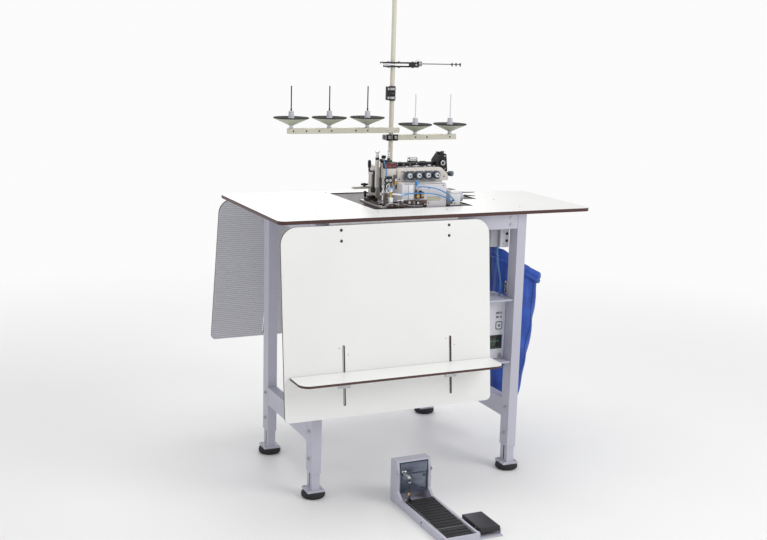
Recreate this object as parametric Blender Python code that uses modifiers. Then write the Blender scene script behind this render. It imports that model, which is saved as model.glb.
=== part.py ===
"""Standing overlock workstation: table, telescopic frame, head, thread stand, aprons, bag and pedal.

Metres, +Z up, +X to the operator's right, +Y away from the operator. The floor is z = 0.
Shapes are written about the middle of the table, and the head's heights from the table top. The empties
`station` and `deck` put them in place.
"""

import math

import bmesh
import bpy
from mathutils import Matrix, Vector

# Placement and fits
STATION_Y = 0.1715  # middle of the table, behind the middle of the whole footprint
GAP = 0.0003  # between pieces that touch
SLIDE_CLEARANCE = 0.0008  # between a sliding piece and its guide
BORE_CLEARANCE = 0.0004  # between the stand pole and the clamps on it

# Table
TABLE_LENGTH = 1.2
TABLE_TOP = 0.984
TABLE_THICKNESS = 0.012
TABLE_DEPTH_LEFT = 0.665
TABLE_DEPTH_RIGHT = 0.4825
TABLE_STEP_X = 0.24
TABLE_CORNER = 0.025
CUT_LEFT, CUT_RIGHT, CUT_FRONT, CUT_BACK = -0.19, 0.20, -0.172, 0.255
CUT_TAIL_RIGHT, CUT_TAIL_FRONT, CUT_TAIL_BACK = 0.298, -0.02, 0.11
SUNK_DROP = 0.003
SUNK_THICKNESS = 0.008
SUNK_FLANGE = 0.012
SUNK_SKIN, SUNK_RIB = 0.004, 0.006

# Frame
LEG_WIDTH, LEG_DEPTH, TUBE_WALL = 0.035, 0.055, 0.0025
LEFT_FRAME_X, RIGHT_FRAME_X = -0.446, 0.331
FRONT_LEG_Y = -0.272
REAR_LEG_Y_LEFT, REAR_LEG_Y_RIGHT = 0.193, 0.422
OUTER_LEG_BOTTOM = 0.091
TOP_BAR_HEIGHT = 0.057
LOWER_BEAM_BOTTOM, LOWER_BEAM_TOP = 0.199, 0.267
FOOT_RADIUS, FOOT_HEIGHT = 0.041, 0.022
FLANGE_SIDE, FLANGE_THICKNESS = 0.062, 0.008
INNER_LEG_OVERLAP = 0.26
INNER_SLOT_WIDTH = 0.009

# Aprons and shelf
PANEL_THICKNESS = 0.008
PANEL_LEFT, PANEL_RIGHT = -0.6, 0.17
PANEL_TOP_CORNER, PANEL_BOTTOM_CORNER = 0.055, 0.018
PANEL_PIVOT_Z = TABLE_TOP - 0.020
FRONT_PANEL_HEIGHT, REAR_PANEL_HEIGHT = 0.643, 0.584
FRONT_PANEL_TILT, REAR_PANEL_TILT = math.radians(5.8), math.radians(12.0)
HINGE_X = (-0.388, 0.012)
HINGE_MARGIN, HINGE_PLATE, HINGE_ARM = 0.04, 0.003, 0.031
SLOT_WIDTH = 0.005
FRONT_SLOTS, REAR_SLOTS = (0.401, 0.604), (0.382, 0.572)  # ends, measured down from the pivot
SHELF_DOWN = 0.491
SHELF_DEPTH, SHELF_THICKNESS, SHELF_CORNER = 0.112, 0.008, 0.035
SHELF_INSET_LEFT = 0.02
BRACKET_PLATE, BRACKET_HEIGHT, BRACKET_REACH = 0.003, 0.045, 0.08

# Thread stand
POLE_X, POLE_Y, POLE_RADIUS, POLE_TOP = 0.08, 0.297, 0.009, 1.79
POLE_FLANGE_RADIUS = 0.028
ARM_WIDTH, ARM_HEIGHT, ARM_WALL = 0.028, 0.021, 0.0025
LEFT_ARM_Z, RIGHT_ARM_Z = 1.2185, 1.190
LEFT_ARM_END, RIGHT_ARM_END = -0.346, 0.362
ARM_HOLE_RADIUS = 0.0035
LEFT_SPOOLS_X, RIGHT_SPOOLS_X = (-0.334, -0.180, -0.022), (0.184, 0.338)
DISH_RADIUS, DISH_RISE, DISH_SHEET = 0.065, 0.026, 0.0024
STEM_RADIUS, STEM_HEIGHT = 0.007, 0.012
HUB_HEIGHT, HUB_BASE_RADIUS, HUB_TOP_RADIUS = 0.044, 0.0135, 0.0095
PIN_RADIUS, PIN_HEIGHT = 0.0022, 0.095
COUPLING_Z, COUPLING_HEIGHT, COUPLING_RADIUS = 1.36, 0.056, 0.0135
GUIDE_Z, GUIDE_LEFT, GUIDE_RIGHT = 1.470, 0.032, 0.185
GUIDE_ROD_END, GUIDE_ROD_RADIUS = 0.378, 0.0018

# Overlock head, with heights above the table top
HEAD_BASE = -SUNK_DROP + GAP
BODY_LEFT, BODY_RIGHT, BODY_FRONT, BODY_BACK, BODY_TOP = -0.045, 0.118, -0.0750, 0.110, 0.128
ARM_LEFT, ARM_FRONT, ARM_BOTTOM = -0.125, -0.100, 0.094
PILLAR_LEFT = -0.098
KNOB_X, KNOB_TOP = -0.113, 0.178
COVER_FRONT, COVER_LEFT, COVER_RIGHT, COVER_TOP, COVER_WALL = -0.150, -0.078, 0.098, 0.085, 0.004
DIAL_LEFT, DIAL_RIGHT, DIAL_FRONT = -0.0742, 0.130, -0.098
DIAL_RADIUS, DIAL_LENGTH, DIAL_PITCH, DIAL_FIRST_X, DIAL_Z = 0.0145, 0.024, 0.0365, -0.036, 0.1085
NEEDLE_X, NEEDLE_Y, NEEDLE_RADIUS = -0.100, -0.086, 0.004
FOOT_BAR_X, FOOT_BAR_Y, FOOT_BAR_RADIUS = -0.112, -0.062, 0.004
FOOT_TRAVEL = 0.0075
NEEDLE_STROKE, NEEDLE_TIP_Z, NEEDLE_TIP_RADIUS = 0.024, 0.0215, 0.0009
NEEDLE_OFFSETS, NEEDLE_TIP_Y = (-0.004, 0.004), -0.089
BED_THICKNESS, BED_CLEAR, SOLE_THICKNESS = 0.006, 0.0006, 0.0055
SHAFT_LEFT, SHAFT_Y, SHAFT_Z, SHAFT_RADIUS = -0.0460, 0.0, 0.1375, 0.006
PULLER_LEFT, PULLER_RIGHT, PULLER_TOP = 0.1195, 0.166, 0.174
MOTOR_LEFT, MOTOR_RIGHT, MOTOR_FRONT, MOTOR_BACK, MOTOR_TOP = 0.120, 0.163, -0.140, -0.062, 0.052
WHEEL_RADIUS, WHEEL_LENGTH, WHEEL_Y, WHEEL_Z = 0.0175, 0.024, -0.098, 0.0235
LEVER_X, LEVER_Y, LEVER_PIVOT_Z = -0.1345, -0.030, 0.110
GUIDE_BAR_Y, GUIDE_BAR_Z, GUIDE_BAR_LEFT, GUIDE_BAR_HEIGHT = 0.055, 0.043, -0.182, 0.008
STAR_X, STAR_RADIUS = -0.134, 0.011

# Pedal
PEDAL_LEFT, PEDAL_RIGHT, PEDAL_FRONT, PEDAL_BACK = -0.207, -0.077, -0.806, -0.394
PEDAL_WALL, PEDAL_FLOOR, PEDAL_SIDE_HEIGHT = 0.010, 0.004, 0.026
UPRIGHT_DEPTH, UPRIGHT_HEIGHT, UPRIGHT_ROOF = 0.054, 0.153, 0.005
TREADLE_THICKNESS, TREADLE_PIVOT_Y, TREADLE_PIVOT_Z, TREADLE_BACK_Y = 0.009, -0.792, 0.017, -0.492
TREADLE_TILT = math.radians(1.7)
SMALL_LEFT, SMALL_RIGHT, SMALL_FRONT, SMALL_BACK = -0.069, 0.006, -0.788, -0.662
SMALL_HEIGHT, SMALL_BOTTOM = 0.019, 0.0125
LINK_X, LINK_Y = -0.187, -0.504
ARM_PIN_Y, ARM_PIN_Z = -0.449, 0.117

# Control gear
SHELF_PLATE_Z, LOWER_PLATE_Z, PLATE_THICKNESS = TABLE_TOP - 0.336, TABLE_TOP - 0.5695, 0.006
PLATE_LEFT, PLATE_FRONT, PLATE_BACK = 0.155, -0.292, -0.150
BOX_LEFT, BOX_FRONT, BOX_BACK = 0.165, -0.2435, -0.155
VALVE_LEFT, VALVE_BACK = 0.243, -0.175
VALVE_BOTTOM, VALVE_TOP = TABLE_TOP - 0.146, TABLE_TOP - 0.072
CABLE_RADIUS, HOSE_RADIUS = 0.003, 0.0022
CABLE_X, CABLE_Y = 0.256, -0.205

# Waste bag
BAG_LEFT, BAG_RIGHT, BAG_FRONT, BAG_BACK = 0.372, 0.545, -0.110, 0.100
BAG_RIM_HIGH, BAG_RIM_LOW, BAG_BOTTOM = TABLE_TOP - 0.184, TABLE_TOP - 0.287, 0.165
BAG_BOTTOM_LEFT, BAG_BOTTOM_RIGHT, BAG_SHEET = 0.385, 0.474, 0.003
HOOP_RADIUS, HOOP_CLEAR, HOOP_DROP = 0.0035, 0.0015, 0.014
HANGER_Y = (-0.075, 0.065)
HANGER_TOP = TABLE_TOP - 0.029

UNDERSIDE = TABLE_TOP - TABLE_THICKNESS
FRONT_EDGE = -TABLE_DEPTH_LEFT / 2
REAR_EDGE = TABLE_DEPTH_LEFT / 2


# Scene and helpers

for leftover in list(bpy.data.objects):
    bpy.data.objects.remove(leftover, do_unlink=True)

parts = bpy.data.collections.new("overlock_station")
helpers = bpy.data.collections.new("cutters")
bpy.context.scene.collection.children.link(parts)
bpy.context.scene.collection.children.link(helpers)
station = bpy.data.objects.new("station", None)
station.location = (0, STATION_Y, 0)
deck = bpy.data.objects.new("deck", None)
deck.location = (0, 0, TABLE_TOP)
deck.parent = station
for place in (station, deck):
    parts.objects.link(place)
bpy.context.view_layer.update()
base = {"parent": station}

materials = {}


def material(name, colour, roughness, metallic=0.0):
    made = bpy.data.materials.new(name)
    made.use_nodes = True
    shader = made.node_tree.nodes["Principled BSDF"]
    shader.inputs["Base Color"].default_value = (*colour, 1)
    shader.inputs["Roughness"].default_value = roughness
    shader.inputs["Metallic"].default_value = metallic
    materials[name] = made


material("white_laminate", (0.86, 0.87, 0.86), 0.35)
material("lavender_paint", (0.55, 0.55, 0.66), 0.45)
material("black_rubber", (0.03, 0.03, 0.035), 0.8)
material("sunk_gloss", (0.05, 0.04, 0.05), 0.15)
material("zinc_steel", (0.6, 0.6, 0.62), 0.35, 1.0)
material("cream_paint", (0.72, 0.70, 0.60), 0.4)
material("head_paint", (0.70, 0.66, 0.62), 0.35)
material("blue_grey_plastic", (0.25, 0.30, 0.36), 0.4)
material("black_metal", (0.03, 0.03, 0.035), 0.35, 0.3)
material("chrome", (0.8, 0.8, 0.82), 0.1, 1.0)
material("white_plastic", (0.85, 0.86, 0.88), 0.4)
material("blue_fabric", (0.03, 0.08, 0.35), 0.8)
material("blue_hose", (0.08, 0.30, 0.65), 0.3)
material("black_cable", (0.02, 0.02, 0.02), 0.5)


def add_object(name, mesh, material_name):
    made = bpy.data.objects.new(name, mesh)
    made.parent = base["parent"]
    parts.objects.link(made)
    if material_name:
        mesh.materials.append(materials[material_name])
    return made


def from_bmesh(name, shape, material_name, smooth=False):
    bmesh.ops.recalc_face_normals(shape, faces=shape.faces)
    mesh = bpy.data.meshes.new(name)
    shape.to_mesh(mesh)
    shape.free()
    if smooth:
        mesh.shade_smooth()
        mesh.set_sharp_from_angle(angle=math.radians(35))
    return add_object(name, mesh, material_name)


def box(name, low, high, material_name=None, bevel=0.0):
    """A box between two corners, with its edges rounded by `bevel`."""
    shape = bmesh.new()
    low, high = Vector(low), Vector(high)
    size = high - low
    place = Matrix.Translation((low + high) / 2) @ Matrix.Diagonal((*size, 1))
    bmesh.ops.create_cube(shape, size=1, matrix=place)
    if bevel:
        bmesh.ops.bevel(shape, geom=shape.edges[:], offset=bevel, segments=2, profile=0.5, affect="EDGES")
    return from_bmesh(name, shape, material_name)


def rod(name, start, end, radius, material_name=None, end_radius=None, segments=20):
    """A cylinder or a cone from one point to another."""
    shape = bmesh.new()
    start, end = Vector(start), Vector(end)
    along = end - start
    turn = along.to_track_quat("Z", "Y").to_matrix().to_4x4()
    bmesh.ops.create_cone(
        shape,
        cap_ends=True,
        segments=segments,
        radius1=radius,
        radius2=radius if end_radius is None else end_radius,
        depth=along.length,
        matrix=Matrix.Translation((start + end) / 2) @ turn,
    )
    return from_bmesh(name, shape, material_name, smooth=True)


def turned(name, profile, centre, material_name, steps=28):
    """A solid of revolution about a vertical axis; the profile runs down its outer side."""
    mesh = bpy.data.meshes.new(name)
    edges = [(i, i + 1) for i in range(len(profile) - 1)]
    mesh.from_pydata([(radius, 0, height) for radius, height in profile], edges, [])
    made = add_object(name, mesh, material_name)
    made.location = centre
    screw = made.modifiers.new("turn", "SCREW")
    screw.steps = steps
    screw.render_steps = steps
    screw.use_merge_vertices = True
    screw.merge_threshold = 0.00005
    return made


def curve_to_mesh(made, name, material_name):
    """Replaces a curve object by a mesh object with its caps welded."""
    bpy.context.view_layer.update()
    graph = bpy.context.evaluated_depsgraph_get()
    mesh = bpy.data.meshes.new_from_object(made.evaluated_get(graph))
    mesh.materials.clear()
    shape = bmesh.new()
    shape.from_mesh(mesh)
    bmesh.ops.remove_doubles(shape, verts=shape.verts, dist=0.00001)
    bpy.data.meshes.remove(mesh)
    placed = made.matrix_world.copy()
    bpy.data.objects.remove(made, do_unlink=True)
    result = from_bmesh(name, shape, material_name)
    result.matrix_world = placed
    return result


def new_curve(name, dimensions):
    curve = bpy.data.curves.new(name + "_curve", "CURVE")
    curve.dimensions = dimensions
    made = bpy.data.objects.new(name + "_curve", curve)
    made.parent = base["parent"]
    helpers.objects.link(made)
    return made, curve


def tube(name, points, radius, material_name=None, cyclic=False, resolution=2):
    """A round tube through the points."""
    made, curve = new_curve(name, "3D")
    spline = curve.splines.new("POLY")
    spline.points.add(len(points) - 1)
    for target, point in zip(spline.points, points):
        target.co = (*point, 1)
    spline.use_cyclic_u = cyclic
    curve.bevel_depth = radius
    curve.bevel_resolution = resolution
    curve.use_fill_caps = not cyclic
    return curve_to_mesh(made, name, material_name)


def plate(name, outline, thickness, base, material_name=None, rotation=None):
    """A flat plate: the outline lies in the plate's own XY plane and its underside is at `base`."""
    made, curve = new_curve(name, "2D")
    curve.fill_mode = "BOTH"
    curve.extrude = thickness / 2
    spline = curve.splines.new("POLY")
    spline.points.add(len(outline) - 1)
    for target, (x, y) in zip(spline.points, outline):
        target.co = (x, y, 0, 1)
    spline.use_cyclic_u = True
    turn = rotation.to_4x4() if rotation else Matrix.Identity(4)
    made.matrix_local = Matrix.Translation(base) @ turn @ Matrix.Translation((0, 0, thickness / 2))
    return curve_to_mesh(made, name, material_name)


def rounded(corners, steps=5):
    """Outline through (x, y, radius) corners, with an arc at each corner that has a radius."""
    outline = []
    count = len(corners)
    for i, (x, y, radius) in enumerate(corners):
        here = Vector((x, y))
        before = (Vector(corners[i - 1][:2]) - here).normalized()
        after = (Vector(corners[(i + 1) % count][:2]) - here).normalized()
        if radius == 0:
            outline.append(tuple(here))
            continue
        half = before.angle(after) / 2
        centre = here + (before + after).normalized() * radius / math.sin(half)
        first = here + before * radius / math.tan(half) - centre
        last = here + after * radius / math.tan(half) - centre
        sweep = first.angle_signed(last)
        for step in range(steps + 1):
            angle = -sweep * step / steps
            turned_by = Matrix.Rotation(angle, 2) @ first
            outline.append(tuple(centre + turned_by))
    return outline


def rounded_box_outline(left, right, low, high, radius):
    return rounded([(left, low, radius), (right, low, radius), (right, high, radius), (left, high, radius)])


def hide(made):
    parts.objects.unlink(made)
    helpers.objects.link(made)
    made.hide_render = True
    made.display_type = "WIRE"


def combine(target, operation, *tools):
    for tool in tools:
        change = target.modifiers.new(operation.lower(), "BOOLEAN")
        change.operation = operation
        change.solver = "EXACT"
        change.object = tool
        hide(tool)
    return target


def join(target, *tools):
    return combine(target, "UNION", *tools)


def cut(target, *tools):
    return combine(target, "DIFFERENCE", *tools)


def set_origin(made, point):
    """Moves a mesh object's origin to a point of the station, leaving its shape where it is."""
    bpy.context.view_layer.update()
    target = Matrix.Translation(point)
    made.data.transform(target.inverted() @ made.matrix_local)
    made.matrix_local = target


# Frame


def leg_box(name, x, y, low, high, shrink=0.0, material_name=None):
    half = Vector((LEG_WIDTH / 2 - shrink, LEG_DEPTH / 2 - shrink, 0))
    return box(name, Vector((x, y, low)) - half, Vector((x, y, high)) + half, material_name)


def side_frame(name, x, rear_y):
    """Two outer leg tubes with a top bar and a lower beam welded between them."""
    tube_top = UNDERSIDE - GAP
    bar_bottom = UNDERSIDE - TOP_BAR_HEIGHT
    frame = leg_box(name, x, FRONT_LEG_Y, OUTER_LEG_BOTTOM, tube_top, 0, "lavender_paint")
    rear = leg_box(name + "_rear", x, rear_y, OUTER_LEG_BOTTOM, tube_top)
    half = LEG_WIDTH / 2
    bar = box(name + "_bar", (x - half, FRONT_LEG_Y, bar_bottom), (x + half, rear_y, tube_top))
    beam = box(name + "_beam", (x - half, FRONT_LEG_Y, LOWER_BEAM_BOTTOM), (x + half, rear_y, LOWER_BEAM_TOP))
    join(frame, rear, bar, beam)
    for y in (FRONT_LEG_Y, rear_y):
        bore = leg_box(f"{name}_bore_{y}", x, y, OUTER_LEG_BOTTOM - 0.01, tube_top - TUBE_WALL, TUBE_WALL)
        cut(frame, bore)
    inner = half - TUBE_WALL
    for low, high in ((bar_bottom, tube_top), (LOWER_BEAM_BOTTOM, LOWER_BEAM_TOP)):
        hollow_low = (x - inner, FRONT_LEG_Y, low + TUBE_WALL)
        hollow_high = (x + inner, rear_y, high - TUBE_WALL)
        cut(frame, box(f"{name}_hollow_{low}", hollow_low, hollow_high))
    return frame


def inner_leg(name, x, y):
    """A square tube with a slotted outer side, on a square flange; it slides in the outer leg."""
    shrink = TUBE_WALL + SLIDE_CLEARANCE
    bottom = FOOT_HEIGHT + GAP
    leg_top = OUTER_LEG_BOTTOM + INNER_LEG_OVERLAP
    leg = leg_box(name, x, y, bottom + FLANGE_THICKNESS / 2, leg_top, shrink, "lavender_paint")
    half = FLANGE_SIDE / 2
    low, high = (x - half, y - half, bottom), (x + half, y + half, bottom + FLANGE_THICKNESS)
    join(leg, box(name + "_flange", low, high))
    hollow = leg_box(name + "_hollow", x, y, bottom + FLANGE_THICKNESS, leg_top + 0.01, shrink + TUBE_WALL)
    face = x - LEG_WIDTH / 2
    slot = box(
        name + "_slot",
        (face - 0.01, y - INNER_SLOT_WIDTH / 2, bottom + FLANGE_THICKNESS + 0.006),
        (face + 0.008, y + INNER_SLOT_WIDTH / 2, leg_top - 0.03),
    )
    cut(leg, hollow, slot)
    set_origin(leg, (x, y, bottom))


def foot(name, x, y):
    profile = [
        (0, FOOT_HEIGHT),
        (FOOT_RADIUS - 0.006, FOOT_HEIGHT),
        (FOOT_RADIUS - 0.002, FOOT_HEIGHT - 0.002),
        (FOOT_RADIUS, FOOT_HEIGHT - 0.004),
        (FOOT_RADIUS, 0.005),
        (FOOT_RADIUS - 0.005, 0),
        (0, 0),
    ]
    turned(name, profile, (x, y, 0), "black_rubber", 32)


LEGS = {
    "front_left": (LEFT_FRAME_X, FRONT_LEG_Y),
    "rear_left": (LEFT_FRAME_X, REAR_LEG_Y_LEFT),
    "front_right": (RIGHT_FRAME_X, FRONT_LEG_Y),
    "rear_right": (RIGHT_FRAME_X, REAR_LEG_Y_RIGHT),
}


def front_rail():
    """A rectangular tube, open at its ends, bolted between the two side frames."""
    half_width, half_depth = LEG_WIDTH / 2 + GAP, LEG_DEPTH / 2
    low = Vector((LEFT_FRAME_X + half_width, FRONT_LEG_Y - half_depth, UNDERSIDE - TOP_BAR_HEIGHT))
    high = Vector((RIGHT_FRAME_X - half_width, FRONT_LEG_Y + half_depth, UNDERSIDE - GAP))
    rail = box("front_rail", low, high, "lavender_paint", 0.002)
    wall = Vector((-0.01, TUBE_WALL, TUBE_WALL))
    cut(rail, box("rail_hollow", low + wall, high - wall))


def frame():
    side_frame("left_frame", LEFT_FRAME_X, REAR_LEG_Y_LEFT)
    right = side_frame("right_frame", RIGHT_FRAME_X, REAR_LEG_Y_RIGHT)
    inner_face = RIGHT_FRAME_X - LEG_WIDTH / 2
    for name, z in (("upper", SHELF_PLATE_Z), ("lower", LOWER_PLATE_Z)):
        ledge = box(
            "ledge_" + name,
            (PLATE_LEFT, PLATE_FRONT, z),
            (inner_face + 0.001, PLATE_BACK, z + PLATE_THICKNESS),
        )
        join(right, ledge)
    passage = rod(
        "cable_passage",
        (CABLE_X, CABLE_Y, SHELF_PLATE_Z - 0.01),
        (CABLE_X, CABLE_Y, SHELF_PLATE_Z + 0.02),
        CABLE_RADIUS * 2,
    )
    cut(right, passage)
    front_rail()
    for corner, (x, y) in LEGS.items():
        inner_leg("inner_leg_" + corner, x, y)
        foot("foot_" + corner, x, y)


# Table


def cut_outline(grow):
    return rounded(
        [
            (CUT_LEFT - grow, CUT_FRONT - grow, 0.008),
            (CUT_RIGHT + grow, CUT_FRONT - grow, 0.008),
            (CUT_RIGHT + grow, CUT_TAIL_FRONT - grow, 0),
            (CUT_TAIL_RIGHT + grow, CUT_TAIL_FRONT - grow, 0.006),
            (CUT_TAIL_RIGHT + grow, CUT_TAIL_BACK + grow, 0.006),
            (CUT_RIGHT + grow, CUT_TAIL_BACK + grow, 0),
            (CUT_RIGHT + grow, CUT_BACK + grow, 0.008),
            (CUT_LEFT - grow, CUT_BACK + grow, 0.008),
        ],
        3,
    )


def table():
    half = TABLE_LENGTH / 2
    right_back = FRONT_EDGE + TABLE_DEPTH_RIGHT
    outline = rounded(
        [
            (-half, FRONT_EDGE, TABLE_CORNER),
            (half, FRONT_EDGE, TABLE_CORNER),
            (half, right_back, TABLE_CORNER),
            (TABLE_STEP_X, right_back, 0),
            (TABLE_STEP_X, REAR_EDGE, TABLE_CORNER),
            (-half, REAR_EDGE, TABLE_CORNER),
        ]
    )
    top = plate("table_top", outline, TABLE_THICKNESS, (0, 0, UNDERSIDE), "white_laminate")
    opening = plate("table_opening", cut_outline(GAP), TABLE_THICKNESS * 2, (0, 0, UNDERSIDE - 0.005))
    cut(top, opening)
    flange_top = UNDERSIDE - GAP
    sunk_bottom = TABLE_TOP - SUNK_DROP - SUNK_THICKNESS
    flange = plate(
        "sunk_plate",
        cut_outline(SUNK_FLANGE),
        flange_top - (sunk_bottom - 0.004),
        (0, 0, sunk_bottom - 0.004),
        "sunk_gloss",
    )
    raised = plate("sunk_raised", cut_outline(0), SUNK_THICKNESS + 0.004, (0, 0, sunk_bottom - 0.004))
    pocket_depth = SUNK_THICKNESS + 0.004 - SUNK_SKIN + 0.01
    pocket = plate("sunk_pocket", cut_outline(-SUNK_RIB), pocket_depth, (0, 0, sunk_bottom - 0.014))
    join(flange, raised)
    cut(flange, pocket)


# Aprons, hinges and shelf


def apron(name, pivot_y, tilt, height, outward, slots):
    """A laminate panel hung from the table edge, tilted outward, with two slots for the shelf bolts."""
    outline = rounded(
        [
            (PANEL_LEFT, -height, PANEL_BOTTOM_CORNER),
            (PANEL_RIGHT, -height, PANEL_BOTTOM_CORNER),
            (PANEL_RIGHT, 0, PANEL_TOP_CORNER),
            (PANEL_LEFT, 0, PANEL_TOP_CORNER),
        ],
        7,
    )
    turn = Matrix.Rotation(math.radians(90) + outward * tilt, 3, "X")
    pivot = Vector((0, pivot_y, PANEL_PIVOT_Z))
    base = pivot + turn @ Vector((0, 0, -PANEL_THICKNESS / 2))
    panel = plate(name, outline, PANEL_THICKNESS, base, "white_laminate", turn)
    for i, x in enumerate(HINGE_X):
        half = SLOT_WIDTH / 2
        outline = rounded_box_outline(x - half, x + half, -slots[1], -slots[0], half - 0.0001)
        behind = pivot + turn @ Vector((0, 0, -PANEL_THICKNESS * 1.5))
        cut(panel, plate(f"{name}_slot_{i}", outline, PANEL_THICKNESS * 3, behind, None, turn))
    set_origin(panel, pivot)
    return turn


def hinge(name, edge_y, outward):
    """An angle strip screwed to the table's underside, which carries the apron along its lip."""
    inner = edge_y - outward * HINGE_ARM
    top = UNDERSIDE - GAP
    left, right = HINGE_X[0] - HINGE_MARGIN, HINGE_X[1] + HINGE_MARGIN
    low_y, high_y = sorted((inner, edge_y))
    leaf = box(name, (left, low_y, top - HINGE_PLATE), (right, high_y, top), "zinc_steel")
    low_y, high_y = sorted((edge_y - outward * HINGE_PLATE, edge_y))
    lip = box(name + "_lip", (left, low_y, PANEL_PIVOT_Z - 0.008), (right, high_y, top - HINGE_PLATE / 2))
    join(leaf, lip)


def shelf(pivot_y, turn):
    """A level shelf carried by two angle brackets that are bolted through the apron's slots."""
    drop = turn @ Vector((0, -SHELF_DOWN, PANEL_THICKNESS / 2 + GAP))
    back_y = pivot_y + drop.y
    top_z = PANEL_PIVOT_Z + drop.z
    left, right = PANEL_LEFT + SHELF_INSET_LEFT, PANEL_RIGHT - 0.002
    front_y = back_y - SHELF_DEPTH
    outline = rounded(
        [
            (left, front_y, SHELF_CORNER),
            (right, front_y, SHELF_CORNER),
            (right, back_y - 0.001, 0),
            (left, back_y - 0.001, 0),
        ],
        6,
    )
    board = plate(
        "front_shelf", outline, SHELF_THICKNESS, (0, 0, top_z - SHELF_THICKNESS), "white_laminate"
    )
    set_origin(board, (0, back_y, top_z))
    under = top_z - SHELF_THICKNESS - GAP
    for side, x in zip(("left", "right"), HINGE_X):
        # The upright leaf follows the apron, and the level leaf carries the shelf.
        name = "shelf_bracket_" + side
        offset = 0.022
        leaf = box(
            name,
            (x - offset, front_y + SHELF_DEPTH - BRACKET_REACH, under - BRACKET_PLATE),
            (x + offset, back_y - 0.0028, under),
            "zinc_steel",
        )
        shape = bmesh.new()
        down = SHELF_DOWN + SHELF_THICKNESS
        near, far = PANEL_THICKNESS / 2 + GAP, PANEL_THICKNESS / 2 + GAP + BRACKET_PLATE
        place = (
            Matrix.Translation((x, pivot_y, PANEL_PIVOT_Z))
            @ turn.to_4x4()
            @ Matrix.Translation((0, -down - BRACKET_HEIGHT / 2 - 0.0012, (near + far) / 2))
            @ Matrix.Diagonal((2 * offset, BRACKET_HEIGHT, far - near, 1))
        )
        bmesh.ops.create_cube(shape, size=1, matrix=place)
        upright = from_bmesh(name + "_upright", shape, None)
        web = box(
            name + "_web",
            (x - 0.0015, back_y - 0.03, under - 0.03),
            (x + 0.0015, back_y - 0.004, under - 0.001),
        )
        bolt_from = Vector((x, pivot_y, PANEL_PIVOT_Z)) + turn @ Vector((0, -down - 0.022, -0.0075))
        bolt_to = Vector((x, pivot_y, PANEL_PIVOT_Z)) + turn @ Vector((0, -down - 0.022, near + 0.006))
        bolt = rod(name + "_bolt", bolt_from, bolt_to, 0.0021, None, None, 12)
        join(leaf, upright, web, bolt)
        set_origin(leaf, (x, back_y, top_z))


def aprons():
    knuckle = 0.0005
    front_pivot_y = FRONT_EDGE - knuckle - PANEL_THICKNESS / 2
    rear_pivot_y = REAR_EDGE + knuckle + PANEL_THICKNESS / 2
    front_turn = apron("front_panel", front_pivot_y, FRONT_PANEL_TILT, FRONT_PANEL_HEIGHT, -1, FRONT_SLOTS)
    apron("rear_panel", rear_pivot_y, REAR_PANEL_TILT, REAR_PANEL_HEIGHT, 1, REAR_SLOTS)
    hinge("front_hinge", FRONT_EDGE, -1)
    hinge("rear_hinge", REAR_EDGE, 1)
    shelf(front_pivot_y, front_turn)


# Thread stand


def pole_bore(name, low, high):
    radius = POLE_RADIUS + BORE_CLEARANCE
    return rod(name, (POLE_X, POLE_Y, low), (POLE_X, POLE_Y, high), radius, None, None, 24)


def spool_arm(name, z, far_end, holes):
    """A downward channel that swivels on the pole, with a solid boss around it."""
    boss = 0.028
    near = POLE_X + math.copysign(boss, POLE_X - far_end)
    low_x, high_x = sorted((near, far_end))
    half = ARM_WIDTH / 2
    arm = box(
        name,
        (low_x, POLE_Y - half, z - ARM_HEIGHT / 2),
        (high_x, POLE_Y + half, z + ARM_HEIGHT / 2),
        "cream_paint",
        0.0015,
    )
    inside = POLE_X - math.copysign(boss, POLE_X - far_end)
    low_x, high_x = sorted((inside, far_end + math.copysign(ARM_WALL, POLE_X - far_end)))
    hollow = box(
        name + "_hollow",
        (low_x, POLE_Y - half + ARM_WALL, z - ARM_HEIGHT),
        (high_x, POLE_Y + half - ARM_WALL, z + ARM_HEIGHT / 2 - ARM_WALL),
    )
    cut(arm, hollow, pole_bore(name + "_bore", z - ARM_HEIGHT, z + ARM_HEIGHT))
    for i, x in enumerate(holes):
        drill = rod(
            f"{name}_hole_{i}", (x, POLE_Y - 0.03, z), (x, POLE_Y + 0.03, z), ARM_HOLE_RADIUS, None, None, 10
        )
        cut(arm, drill)
    set_origin(arm, (POLE_X, POLE_Y, z))


def spool_holder(name, x, arm_top):
    """Stem, dished tray, tapered hub and spool pin, turned as one."""
    base = arm_top + GAP
    rim = STEM_HEIGHT + DISH_RISE
    hub_low = STEM_HEIGHT + 0.006
    profile = [
        (0, hub_low + HUB_HEIGHT + PIN_HEIGHT),
        (PIN_RADIUS, hub_low + HUB_HEIGHT + PIN_HEIGHT - 0.001),
        (PIN_RADIUS, hub_low + HUB_HEIGHT),
        (HUB_TOP_RADIUS, hub_low + HUB_HEIGHT),
        (HUB_BASE_RADIUS, hub_low),
        (DISH_RADIUS, rim),
        (DISH_RADIUS, rim - DISH_SHEET),
        (STEM_RADIUS + 0.004, STEM_HEIGHT),
        (STEM_RADIUS, STEM_HEIGHT - 0.003),
        (STEM_RADIUS, 0),
        (0, 0),
    ]
    turned(name, profile, (x, POLE_Y, base), "black_metal", 32)


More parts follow.
